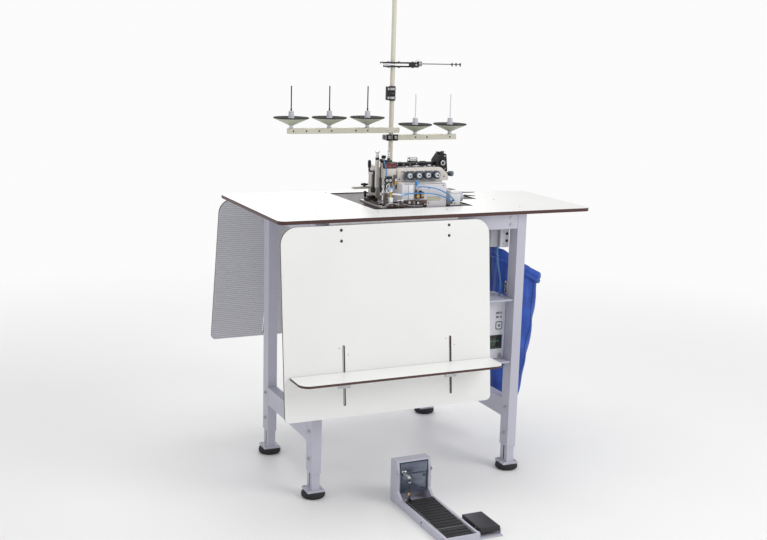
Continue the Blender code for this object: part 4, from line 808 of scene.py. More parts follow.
def dress_stand():
    dress("stand_pole", ["cream_enamel"], None, 0.0006)
    piece = Piece()
    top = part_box("table_top")[1].z
    for i in range(3):
        angle = math.radians(90 + 120 * i)
        at = Vector((POLE[0] + 0.0215 * math.cos(angle), POLE[1] + 0.0215 * math.sin(angle), top + 0.0053))
        screw(piece, at, Z, 0.0036, "zinc", "cross", 0.0022)
    pole_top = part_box("stand_pole")[1].z
    piece.turned(
        [(0, -0.002), (0.0098, -0.002), (0.0098, 0.003), (0.0085, 0.0045), (0, 0.005)], (*POLE, pole_top), Z,
        "black_plastic", 28,
    )
    piece.done("pole_fittings", "station")

    dress("pole_coupling", ["black_oxide"], None, 0.0012)
    low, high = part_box("pole_coupling")
    piece = Piece()
    for z in (low.z + 0.006, high.z - 0.016):
        piece.turned(
            [(0.0132, 0), (0.0145, 0.0006), (0.0145, 0.0094), (0.0132, 0.01)], (*POLE, z), Z, "zinc", 36, True
        )
        screw(
            piece, (POLE[0] + 0.006, POLE[1] - 0.0135, z + 0.005), (0.35, -1, 0), 0.0034, "zinc", "socket",
            0.003,
        )
        screw(piece, (POLE[0] - 0.019, POLE[1] - 0.0082, z + 0.005), -Y, 0.0032, "zinc", "hex", 0.0026)
    piece.turned(
        [(0.0137, 0), (0.0142, 0.0005), (0.0142, 0.0035), (0.0137, 0.004)], (*POLE, 1.358), Z, "steel_dark",
        36, True,
    )
    piece.done("coupling_bands", "station")

    for name, body, z, holes, screws in (
        (
            "left_spool_arm", "left_arm", 1.2185, (-0.329, -0.277, -0.226, -0.175, -0.075, -0.025),
            (0.058, 0.094),
        ),
        ("right_spool_arm", "right_arm", 1.19, (0.181, 0.231, 0.333), (0.066, 0.092)),
    ):
        dress(name, ["cream_enamel"], None, 0.0005)
        low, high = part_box(name)
        piece = Piece()
        # Each hole is drawn as a dark plug of painted shade.
        for x in holes:
            piece.turned(
                [(0, 0), (0.0033, 0), (0.0033, 0.0018), (0.0026, 0.0024), (0, 0.0022)],
                (x, low.y + 0.0018, z), -Y, "slot_painted_shade", 16,
            )
            piece.turned(
                [(0, 0), (0.0033, 0), (0.0033, 0.0018), (0, 0.0018)], (x, high.y - 0.0018, z), Y, "slot_painted_shade",
                16,
            )
        for x in screws:
            at = (x, low.y - 0.0001, z)
            if body == "right_arm":
                piece.block(
                    (x - 0.0115, low.y - 0.0035, z - 0.0125), (x + 0.0115, low.y + 0.001, z + 0.0125),
                    "black_oxide", 0.0018,
                )
                screw(piece, (x, low.y - 0.0036, z + 0.001), -Y, 0.0056, "zinc", "socket", 0.0045)
            else:
                screw(piece, at, -Y, 0.0026, "zinc", "cross", 0.0014)
        ends = (0.1085, 1) if body == "left_arm" else (0.0515, -1)
        face = ends[0]
        piece.block(
            (face - 0.0005 if ends[1] > 0 else face - 0.003, low.y + 0.002, z - 0.0088),
            (face + 0.0022 if ends[1] > 0 else face + 0.0005, high.y - 0.002, z + 0.0088),
            "dial_plastic", 0.0012,
        )
        piece.done(name + "_fittings", body)

    for i in range(1, 6):
        name = f"spool_holder_{i}"
        low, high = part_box(name)
        pin = "black_oxide" if i < 4 else "white_plastic"
        dress(
            name, [pin, "hub_plastic", "dish_mat", "dish_under", "hub_plastic"], holder_finish(name), 0.0,
            None,
        )
        middle = Vector(((low.x + high.x) / 2, (low.y + high.y) / 2, low.z))
        piece = Piece()
        # A fibre mat lies on the dish, over its rolled rim.
        mat = [
            (0.0146, 0.0215), (0.064, 0.0386), (0.0668, 0.0372), (0.0674, 0.0384), (0.066, 0.0408),
            (0.06, 0.0412), (0.0146, 0.033),
        ]
        piece.turned(mat, middle, Z, "dish_mat", 56, True)
        piece.turned(
            [(0.0636, 0.0352), (0.0652, 0.0356), (0.0656, 0.037), (0.0648, 0.0382), (0.0634, 0.0368)], middle,
            Z, "dish_under", 56, True,
        )
        piece.turned(
            [(0.0138, 0.0182), (0.0158, 0.0186), (0.0158, 0.0205), (0.014, 0.0225)], middle, Z, "hub_plastic",
            28, True,
        )
        piece.turned(
            [
                (0.0096, 0.06), (0.0104, 0.0606), (0.0104, 0.0628), (0.0092, 0.064), (0.003, 0.0644),
                (0.003, 0.06),
            ],
            middle, Z, "hub_plastic", 28, True,
        )
        for k in range(4):
            angle = math.radians(90 * k + 20)
            out = Vector((math.cos(angle), math.sin(angle), 0))
            at = middle + out * 0.0131 + Z * 0.0225
            piece.prism(
                [(-0.0011, -0.002), (0.0011, -0.002), (0.0011, 0.0028), (-0.0011, 0.0028)], at, Z.cross(out),
                Z, 0.0006, "slot_painted_shade",
            )
            rib = middle + out * 0.0112 + Z * 0.043
            piece.tube(
                [middle + out * 0.013 + Z * 0.026, rib, middle + out * 0.01 + Z * 0.06], 0.0006,
                "hub_plastic", 6,
            )
        piece.turned(
            [(0.0071, 0), (0.0092, 0), (0.0092, 0.0022), (0.0071, 0.003)], middle, Z, "hub_plastic", 24, True
        )
        if i < 4:
            piece.turned(
                [(0.0023, 0.064), (0.0034, 0.064), (0.003, 0.072), (0.0023, 0.074)], middle, Z, "black_oxide",
                16, True,
            )
        piece.turned(
            [(0, 0.1558), (0.0026, 0.156), (0.0027, 0.1568), (0.0018, 0.1574), (0, 0.1577)], middle, Z, pin,
            16,
        )
        piece.done(f"dish_trim_{i}", "left_arm" if i < 4 else "right_arm")

    dress("guide_clamp", ["black_oxide"], None, 0.0008)
    dress(
        "thread_guide", ["cream_enamel", "steel_dark"],
        lambda p: 0 if p.center.x < 0.0168 and p.area > 1e-6 else 1, 0.0004,
    )
    low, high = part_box("guide_clamp")
    y, z = POLE[1], 1.47
    piece = Piece()
    piece.block(
        (low.x + 0.02, low.y - 0.0006, z - 0.0028), (low.x + 0.058, low.y + 0.0012, z + 0.003),
        "white_plastic", 0.0005,
    )
    loop = oval((low.x - 0.003, y - 0.01, z), X, Z, 0.0085, 0.0055, full_turn(28))
    piece.tube(loop, 0.0014, "chrome", 8, True)
    piece.tube([(low.x + 0.004, y - 0.01, z), (low.x + 0.022, y - 0.01, z)], 0.0016, "chrome", 8)
    for x in (low.x + 0.03, low.x + 0.074, high.x - 0.02):
        screw(piece, (x, y, high.z + 0.0001), Z, 0.0048, "zinc", "hex", 0.0032)
        screw(piece, (x, y, low.z - 0.0001), -Z, 0.0044, "steel_dark", "hex", 0.0026)
    screw(piece, (high.x - 0.012, low.y - 0.0001, z), -Y, 0.0042, "zinc", "socket", 0.003)
    piece.tube(
        smooth_path(
            [
                (high.x - 0.014, y - 0.006, high.z), (high.x - 0.01, y - 0.008, high.z + 0.007),
                (high.x + 0.004, y - 0.01, high.z + 0.012),
            ],
        ),
        0.0011, "zinc", 8,
    )
    piece.done("guide_bolts", "guide_arm")
    low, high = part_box("thread_guide")
    piece = Piece()
    for i in range(3):
        x = high.x - 0.004 - 0.018 * i
        eye = oval((x, y, z - 0.0008), Y, Z, 0.0042, 0.0042, [math.radians(70 - 14 * k) for k in range(23)])
        piece.tube(eye, 0.0007, "steel_dark", 8)
        piece.turned(
            [(0.0018, -0.0017), (0.0034, -0.0017), (0.0034, 0.0017), (0.0018, 0.0017)], (x, y, z + 0.004), X,
            "black_oxide", 16, True,
        )
    knurl(piece, (low.x + 0.003, y, z + 0.004), X, 0.0098, 0.01, "cream_enamel", 20, 0.0006)
    piece.done("guide_eyes", "guide_arm")


# Overlock head


def ring(piece, at, axis, outer, inner, height, finish, steps=28):
    piece.turned(
        [
            (inner, 0), (outer, 0), (outer, height * 0.7), (outer - height * 0.3, height),
            (inner + height * 0.2, height), (inner, height * 0.8),
        ],
        at, axis, finish, steps, True,
    )


def dress_covers():
    dress("head_body", ["head_enamel"], None, 0.0011, None, 3)
    dress("looper_cover", ["cover_enamel"], None, 0.0012, None, 3)
    dress("dial_cover", ["head_enamel"], None, 0.001, None, 3)
    piece = Piece()
    face = -0.1502
    # Dark lines of painted shade mark the seams at each side of the white block.
    for x in (-0.0535, -0.032):
        piece.block(st(x - 0.0004, face - 0.0001, 0.992), st(x + 0.0004, face + 0.002, 1.062), "slot_painted_shade", 0)
    piece.block(st(-0.0525, face - 0.0006, 1.0), st(-0.0325, face + 0.002, 1.0635), "white_plastic", 0.0008)
    piece.block(st(0.021, face - 0.0005, 1.004), st(0.074, face + 0.002, 1.02), "plate_beige", 0.0004)
    for x in (0.0236, 0.0714):
        screw(piece, st(x, face - 0.0005, 1.012), -Y, 0.0011, "zinc", "slot", 0.0006)
    screw(piece, st(0.028, face, 1.05), -Y, 0.0026, "steel_dark", "cross", 0.0014)
    screw(piece, st(0.028, face, 0.9975), -Y, 0.0026, "steel_dark", "cross", 0.0014)
    screw(piece, st(0.085, face, 1.058), -Y, 0.0026, "steel_dark", "cross", 0.0014)
    # A dark strip of painted shade marks the gap along the cover's top.
    piece.block(st(-0.07, face - 0.0004, 1.0655), st(0.09, face + 0.002, 1.0667), "slot_painted_shade", 0)
    # Hinge knuckles of the looper cover on its lower right corner.
    for z in (0.99, 1.04):
        piece.turned(disc(0.0032, 0.01, 0.0006), st(0.0985, -0.14, z), Z, "zinc", 16)
    piece.done("looper_cover_details", "station")

    piece = Piece()
    outline = round_outline(-0.0525, 0.0885, 1.0735, 1.1015, 0.0095, 6)
    piece.prism(outline, st(0, -0.09795, 0), X, Z, 0.00025, "dial_panel")
    # A dark strip of painted shade marks the gap over the dial panel, and a small dark slot of painted shade
    # sits by each dial.
    piece.block(st(-0.06, -0.0984, 1.103), st(0.084, -0.0975, 1.1056), "slot_painted_shade", 0.0003)
    for i in range(4):
        x = -0.036 + 0.0365 * i
        piece.block(st(x + 0.0125, -0.0984, 1.0745), st(x + 0.0215, -0.0979, 1.0775), "slot_painted_shade", 0.0002)
        # A thread comes over each dial through a small wire eye.
        eye = oval(st(x, -0.0945, 1.1185), X, Z, 0.004, 0.004, [math.radians(13 * k - 40) for k in range(21)])
        piece.tube(eye, 0.0007, "chrome", 8)
    screw(piece, st(0.113, -0.0981, 1.084), -Y, 0.0028, "steel_dark", "cross", 0.0014)
    screw(piece, st(-0.066, -0.0981, 1.078), -Y, 0.0028, "steel_dark", "cross", 0.0014)
    # Dark top plate with its bright thread strip and a blank label, under the shaft.
    piece.block(st(-0.07, -0.07, 1.1122), st(0.088, -0.018, 1.1165), "sunk_enamel", 0.0016)
    piece.block(st(-0.06, -0.05, 1.116), st(0.02, -0.047, 1.1176), "steel_dark", 0.0006)
    piece.block(st(0.016, -0.04, 1.116), st(0.042, -0.034, 1.118), "white_plastic", 0.0006)
    piece.block(st(-0.066, -0.018, 1.1122), st(0.086, -0.0135, 1.1275), "black_oxide", 0.001)
    for x in (-0.05, -0.02, 0.056, 0.078):
        screw(piece, st(x, -0.058, 1.1165), Z, 0.003, "zinc", "slot", 0.0014)
    for i in range(4):
        x = -0.044 + 0.026 * i
        loop = oval(st(x, -0.03, 1.1205), Y, Z, 0.0042, 0.0042, full_turn(18))
        piece.tube(loop, 0.0007, "chrome", 6, True)
    piece.block(st(0.026, 0.012, 1.1118), st(0.06, 0.034, 1.13), "black_oxide", 0.0015)
    piece.block(st(0.0265, 0.0125, 1.129), st(0.0595, 0.0335, 1.1415), "clear_plastic", 0.0022)
    piece.done("head_top_details", "station")

    # Rear and right side of the casting: access plate, vents, sight glass and filler.
    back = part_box("head_body")[1].y
    piece = Piece()
    piece.block((-0.03, back - 0.0005, 1.0), (0.085, back + 0.0022, 1.082), "head_enamel", 0.0015)
    for x in (-0.024, 0.079):
        for z in (1.006, 1.076):
            screw(piece, (x, back + 0.0022, z), Y, 0.003, "steel_dark", "cross", 0.0016)
    # The vent slots are dark strips of painted shade.
    for i in range(7):
        z = 1.018 + 0.008 * i
        piece.block((0.006, back + 0.0018, z), (0.05, back + 0.0026, z + 0.0026), "slot_painted_shade", 0.0003)
    ring(piece, (0.067, back + 0.002, 1.03), Y, 0.0085, 0.0062, 0.0022, "zinc")
    piece.turned(disc(0.0063, 0.0012, 0.0003), (0.067, back + 0.002, 1.03), Y, "clear_plastic", 28)
    piece.turned(disc(0.0075, 0.005, 0.0012), st(0.07, 0.07, 1.1118), Z, "black_plastic", 28)
    knurl(piece, st(0.07, 0.07, 1.1124), Z, 0.0075, 0.0036, "black_plastic", 22)
    for y, z in ((0.02, 1.07), (0.09, 1.07), (0.02, 1.0), (0.09, 1.0)):
        screw(piece, st(0.1181, y, z), X, 0.0034, "steel_dark", "socket", 0.0026)
    piece.done("head_rear_details", "station")


def dress_dials():
    for i in range(1, 5):
        name = f"tension_dial_{i}"
        dress(name, ["dial_plastic", "hub_plastic"], lambda p: 0, 0.0006)
        low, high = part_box(name)
        x, z = (low.x + high.x) / 2, (low.z + high.z) / 2
        front = high.y
        piece = Piece()
        # Tension discs, grooved grip and the white cap ring.
        for offset, radius in ((0.0012, 0.0158), (0.0042, 0.015)):
            ring(piece, (x, front - offset, z), -Y, radius, 0.0128, 0.0011, "chrome", 36)
        for k in range(4):
            along = 0.0078 + 0.004 * k
            size = 0.0145 - 0.004 * (along + 0.001) / 0.024
            ring(piece, (x, front - along, z), -Y, size + 0.0006, size - 0.001, 0.002, "dial_plastic", 36)
        knurl(piece, (x, front - 0.0065, z), -Y, 0.0135, 0.0165, "dial_plastic", 26, 0.0011)
        ring(piece, (x, front - 0.024, z), -Y, 0.0086, 0.0036, 0.0022, "white_plastic", 32)
        # A dark disc of painted shade fills the cap's centre hole.
        piece.turned(disc(0.0038, 0.0006, 0.0001), (x, front - 0.0301, z), -Y, "slot_painted_shade", 20)
        ring(piece, (x, front - 0.0292, z), -Y, 0.0066, 0.0037, 0.0014, "white_plastic", 32)
        piece.prism(
            [(-0.0004, 0.004), (0.0004, 0.004), (0.0004, 0.0062), (-0.0004, 0.0062)], (x, front - 0.0304, z),
            X, Z, 0.0003, "mark_grey",
        )
        piece.done(f"dial_rings_{i}", f"dial_{i}")


def dress_sewing():
    dress("needle_bar", ["chrome"], None, 0.0006)
    dress("presser_foot", ["chrome"], None, 0.0006)
    dress("lifter_lever", ["black_oxide"], None, 0.001)
    dress("edge_guide", ["cream_enamel"], None, 0.0006)
    dress("guide_knob", ["black_oxide"], None, 0.0008)
    x, y = -0.1, -0.086 + STATION_Y
    piece = Piece()
    for offset in (-0.0045, 0.0045):
        screw(piece, (x + offset, y - 0.0081, 1.036), -Y, 0.0023, "steel_dark", "slot", 0.0016)
    ring(piece, (x, y, 1.0435), Z, 0.0062, 0.0042, 0.003, "steel_dark", 24)
    piece.tube(
        smooth_path(
            [
                (x + 0.009, y - 0.002, 1.036), (x + 0.0125, y - 0.005, 1.034), (x + 0.0115, y - 0.009, 1.03),
                (x + 0.006, y - 0.0105, 1.029),
            ],
        ),
        0.0006, "chrome", 8,
    )
    piece.done("needle_clamp_screws", "needle_drive")

    piece = Piece()
    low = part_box("presser_foot")[0]
    screw(piece, (low.x + 0.005, st(0, -0.0691, 0).y, 1.042), -Y, 0.0028, "steel_dark", "slot", 0.002)
    screw(piece, (-0.1201, st(0, -0.062, 0).y, 1.026), -X, 0.0026, "steel_dark", "slot", 0.0016)
    toe = [(-0.0055, 0), (0.0, -0.0085), (0.0055, 0)]
    piece.prism(toe, (-0.1185, low.y + 0.0006, low.z + 0.0012), X, Y, 0.0028, "chrome", 0.0004)
    turns = [math.pi * k / 8 for k in range(66)]
    spring = oval(st(-0.112, -0.062, 1.0525), X, Y, 0.0058, 0.0058, turns)
    spring = [point + Z * 0.0018 * a / math.pi for point, a in zip(spring, turns)]
    piece.tube(spring, 0.0007, "zinc", 6)
    piece.done("presser_fittings", "presser")

    piece = Piece()
    at = st(-0.1406, -0.03, 1.094)
    screw(piece, at, -X, 0.0048, "zinc", "slot", 0.0028)
    piece.turned(
        [
            (0, 0), (0.0062, 0.0008), (0.0084, 0.005), (0.0088, 0.011), (0.0078, 0.0165), (0.005, 0.0205),
            (0, 0.0215),
        ],
        st(-0.1375, -0.03, 1.0235), Z, "rubber", 24,
    )
    for k in range(4):
        ring(piece, st(-0.1375, -0.03, 1.0285 + 0.0034 * k), Z, 0.0091, 0.0075, 0.0014, "rubber", 24)
    piece.done("lifter_grip", "lifter")

    piece = Piece()
    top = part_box("guide_knob")[1].z
    piece.turned(disc(0.0042, 0.0022, 0.0008), st(-0.134, 0.055, top - 0.0004), Z, "black_oxide", 18)
    for k in range(6):
        angle = math.radians(60 * k)
        out = Vector((math.cos(angle), math.sin(angle), 0))
        tip = st(-0.134, 0.055, top - 0.0036) + out * 0.011
        piece.turned(
            [(0, -0.0036), (0.0026, -0.0032), (0.0038, 0), (0.0026, 0.0032), (0, 0.0036)], tip, Z,
            "black_oxide", 14,
        )
    piece.done("star_knob_lobes", "star_knob")

    piece = Piece()
    # Front of the arm: red sight window in its dark bezel, over the pale face plate.
    piece.block(st(-0.1245, -0.0985, 1.117), st(-0.0765, -0.079, 1.1395), "black_oxide", 0.002)
    piece.block(st(-0.1215, -0.1002, 1.1198), st(-0.08, -0.0975, 1.1372), "red_window", 0.001)
    piece.block(st(-0.1195, -0.1012, 1.0925), st(-0.083, -0.0995, 1.114), "head_enamel", 0.0016)
    piece.tube(
        smooth_path(
            [
                st(-0.1275, -0.094, 1.15), st(-0.1262, -0.0985, 1.138), st(-0.1215, -0.1025, 1.122),
                st(-0.1188, -0.1035, 1.104), st(-0.1215, -0.103, 1.086),
            ],
        ),
        0.0017, "hose_blue", 10,
    )
    # Needle-bar guard with its two ring screws, and the dark thread levers under it.
    piece.block(st(-0.124, -0.1035, 1.0665), st(-0.096, -0.1, 1.0905), "black_oxide", 0.0018)
    # The centre of each ring screw is a dark disc of painted shade.
    for x in (-0.1165, -0.1035):
        ring(piece, st(x, -0.1034, 1.075), -Y, 0.0046, 0.0021, 0.002, "white_plastic", 24)
        piece.turned(disc(0.0023, 0.0008, 0.0002), st(x, -0.1034, 1.075), -Y, "slot_painted_shade", 16)
    piece.turned(disc(0.0098, 0.0042, 0.001), st(-0.113, -0.1012, 1.0545), -Y, "black_oxide", 28)
    ring(piece, st(-0.113, -0.1052, 1.0545), -Y, 0.0078, 0.0052, 0.001, "chrome", 28)
    screw(piece, st(-0.113, -0.1053, 1.0545), -Y, 0.0028, "zinc", "slot", 0.0016)
    piece.tube(
        smooth_path(
            [
                st(-0.127, -0.1035, 1.072), st(-0.1305, -0.105, 1.056), st(-0.129, -0.106, 1.04),
                st(-0.121, -0.1065, 1.031), st(-0.1165, -0.106, 1.036),
            ],
        ),
        0.0013, "chrome", 8,
    )
    piece.tube(
        smooth_path(
            [
                st(-0.095, -0.103, 1.066), st(-0.0915, -0.105, 1.052), st(-0.093, -0.1055, 1.038),
                st(-0.0985, -0.105, 1.033),
            ],
        ),
        0.0013, "chrome", 8,
    )
    piece.block(st(-0.0905, -0.103, 1.06), st(-0.0765, -0.0985, 1.095), "steel_dark", 0.0016)
    piece.turned(disc(0.0042, 0.014, 0.001), st(-0.0835, -0.1062, 1.06), Z, "brass", 20)
    knurl(piece, st(-0.0835, -0.1062, 1.062), Z, 0.0042, 0.0085, "brass", 18, 0.0004)
    piece.turned(disc(0.003, 0.008, 0.0008), st(-0.0835, -0.1062, 1.0735), Z, "white_plastic", 20)
    piece.block(st(-0.0815, -0.104, 1.0435), st(-0.07, -0.099, 1.06), "black_oxide", 0.0014)
    # Thread take-up rod and its sleeve by the left end of the arm.
    piece.tube([st(-0.131, -0.078, 1.047), st(-0.131, -0.078, 1.145)], 0.002, "black_oxide", 12)
    piece.turned(disc(0.005, 0.008, 0.001), st(-0.131, -0.078, 1.142), Z, "black_oxide", 20)
    # Chrome knobs over the cream bar and the pressure screw.
    piece.turned(disc(0.007, 0.0085, 0.0012), st(-0.1325, -0.05, 1.144), Z, "black_oxide", 24)
    piece.turned(
        [
            (0, 0), (0.0058, 0), (0.006, 0.006), (0.0048, 0.009), (0.0056, 0.015), (0.0088, 0.0185),
            (0.009, 0.022), (0.0078, 0.0232), (0, 0.0234),
        ],
        st(-0.1325, -0.05, 1.152), Z, "chrome", 28,
    )
    piece.turned(disc(0.0078, 0.01, 0.0014), st(-0.113, -0.062, 1.15), Z, "black_oxide", 24)
    knurl(piece, st(-0.113, -0.062, 1.1505), Z, 0.0078, 0.008, "black_oxide", 24)
    piece.turned(
        [(0, 0), (0.0062, 0), (0.0062, 0.01), (0.005, 0.012), (0.005, 0.018), (0, 0.018)],
        st(-0.0935, -0.062, 1.133), Z, "black_oxide", 24,
    )
    piece.turned(
        [
            (0, 0), (0.004, 0), (0.0044, 0.008), (0.003, 0.012), (0.0042, 0.016), (0.0046, 0.022),
            (0.0026, 0.0335), (0, 0.0345),
        ],
        st(-0.0935, -0.062, 1.1505), Z, "chrome", 24,
    )
    piece.block(st(-0.124, -0.07, 1.1345), st(-0.082, -0.054, 1.144), "black_oxide", 0.002)
    # Upper release lever on the left of the arm.
    piece.turned(
        [(0, 0), (0.0044, 0.001), (0.006, 0.007), (0.006, 0.022), (0.0044, 0.0285), (0, 0.0295)],
        st(-0.1475, -0.016, 1.1105), Z, "black_oxide", 20,
    )
    piece.tube(
        smooth_path(
            [
                st(-0.1475, -0.016, 1.113), st(-0.146, -0.012, 1.102), st(-0.139, -0.008, 1.098),
                st(-0.124, -0.006, 1.098),
            ],
        ),
        0.0032, "black_oxide", 12,
    )
    piece.done("arm_details", "station")

    piece = Piece()
    # Air nozzle in front of the needles: white foot, brass stem, pale blue collet.
    piece.block(st(-0.13, -0.156, 0.9815), st(-0.114, -0.144, 0.988), "steel_dark", 0.0012)
    piece.turned(disc(0.003, 0.018, 0.0004), st(-0.122, -0.15, 0.987), Z, "steel_dark", 16)
    piece.block(st(-0.1285, -0.156, 1.004), st(-0.1155, -0.144, 1.0215), "white_plastic", 0.0016)
    piece.turned(disc(0.0036, 0.022, 0.0006), st(-0.122, -0.15, 1.021), Z, "brass", 20)
    ring(piece, st(-0.122, -0.15, 1.029), Z, 0.005, 0.003, 0.004, "brass", 6)
    piece.turned(disc(0.0056, 0.0075, 0.0018), st(-0.122, -0.15, 1.0425), Z, "white_plastic", 24)
    piece.turned(disc(0.0062, 0.006, 0.002), st(-0.122, -0.15, 1.0495), Z, "pale_blue", 24)
    piece.tube(
        smooth_path(
            [
                st(-0.118, -0.152, 1.033), st(-0.104, -0.156, 1.033), st(-0.086, -0.157, 1.03),
                st(-0.074, -0.156, 1.03),
            ],
        ),
        0.003, "white_plastic", 12,
    )
    # Straight connector where the lower tube starts, and the elbow of the upper one.
    piece.turned(disc(0.0044, 0.012, 0.001), st(-0.085, -0.156, 1.03), X, "pale_blue", 20)
    piece.block(st(-0.0275, -0.16, 1.046), st(-0.017, -0.152, 1.06), "grey_bracket", 0.0016)
    piece.block(st(-0.029, -0.159, 1.069), st(-0.0175, -0.15, 1.0775), "blue_plastic", 0.0018)
    piece.turned(disc(0.0034, 0.012, 0.0006), st(-0.0235, -0.1545, 1.0585), Z, "blue_plastic", 20)
    # Flow screws with knurled brass heads on their dark bracket.
    piece.block(st(-0.03, -0.1535, 1.014), st(0.008, -0.1503, 1.038), "bronze_dark", 0.0014)
    piece.block(st(-0.0275, -0.156, 1.038), st(-0.0205, -0.1503, 1.047), "steel_dark", 0.0012)
    for x, z in ((-0.019, 1.024), (-0.001, 1.0275)):
        piece.turned(disc(0.0058, 0.006, 0.0012), st(x, -0.1535, z), -Y, "brass", 24)
        knurl(piece, st(x, -0.154, z), -Y, 0.0058, 0.0045, "brass", 22, 0.0004)
        screw(piece, st(x, -0.1595, z), -Y, 0.003, "brass", "slot", 0.0016)
    piece.turned(disc(0.0046, 0.004, 0.001), st(-0.0075, -0.1535, 1.0395), -Y, "black_oxide", 20)
    # Linkages and guides of the lower looper in front of the cover's foot.
    for x_low, x_high, z_low, z_high, y_low, y_high, finish in (
        (-0.148, -0.03, 0.995, 0.9985, -0.153, -0.1508, "steel_dark"),
        (-0.138, 0.016, 0.986, 0.9915, -0.159, -0.151, "bronze_dark"),
        (-0.115, -0.045, 1.003, 1.0062, -0.1545, -0.151, "black_oxide"),
        (-0.07, -0.035, 0.992, 1.01, -0.157, -0.1508, "bronze_dark"),
        (-0.025, 0.018, 0.983, 1.0095, -0.156, -0.1508, "bronze_dark"),
        (-0.032, -0.006, 1.006, 1.0115, -0.16, -0.1508, "steel_dark"),
        (-0.112, -0.096, 0.9815, 1.006, -0.154, -0.15, "black_oxide"),
        (-0.088, -0.074, 0.9815, 1.0125, -0.158, -0.151, "steel_dark"),
    ):
        piece.block(st(x_low, y_low, z_low), st(x_high, y_high, z_high), finish, 0.001)
    for x, z, radius in (
        (-0.081, 1.007, 0.004), (-0.053, 1.0015, 0.0048), (-0.019, 0.999, 0.0046), (0.008, 0.993, 0.0034),
        (-0.104, 0.998, 0.0032),
    ):
        piece.turned(disc(radius * 1.25, 0.003, 0.0006), st(x, -0.157, z), -Y, "steel_dark", 24)
        screw(piece, st(x, -0.16, z), -Y, radius, "zinc", "slot", 0.0018)
    for start, middle, end in (
        ((-0.146, -0.146, 0.986), (-0.128, -0.158, 1.001), (-0.09, -0.16, 0.995)),
        ((-0.075, -0.158, 0.997), (-0.045, -0.161, 0.99), (0.02, -0.156, 0.987)),
        ((-0.1, -0.158, 1.01), (-0.06, -0.16, 1.013), (-0.03, -0.156, 1.01)),
    ):
        piece.tube(smooth_path([st(*start), st(*middle), st(*end)]), 0.0016, "chrome", 10)
    # Dark finger guard and fabric guides on the left of the bed.
    piece.prism(
        arc((0, 0), 0.026, 100, 200, 12) + arc((0, 0), 0.021, 200, 100, 12), st(-0.114, -0.122, 0.9882), X, Y,
        0.006, "bronze_dark", 0.0006,
    )
    piece.block(st(-0.148, -0.1, 0.9875), st(-0.131, -0.02, 0.9935), "steel_dark", 0.0014)
    piece.block(st(-0.147, -0.01, 0.9875), st(-0.108, 0.032, 0.999), "bronze_dark", 0.0024)
    piece.block(st(-0.14, -0.006, 0.9985), st(-0.115, 0.02, 1.008), "black_oxide", 0.0024)
    screw(piece, st(-0.1275, 0.008, 1.008), Z, 0.0042, "zinc", "slot", 0.002)
    for y in (-0.09, -0.03):
        screw(piece, st(-0.1395, y, 0.9935), Z, 0.0032, "zinc", "slot", 0.0014)
    piece.turned(disc(0.005, 0.022, 0.0014), st(-0.144, 0.025, 1.0), Z, "black_oxide", 20)
    piece.done("front_linkages", "station")


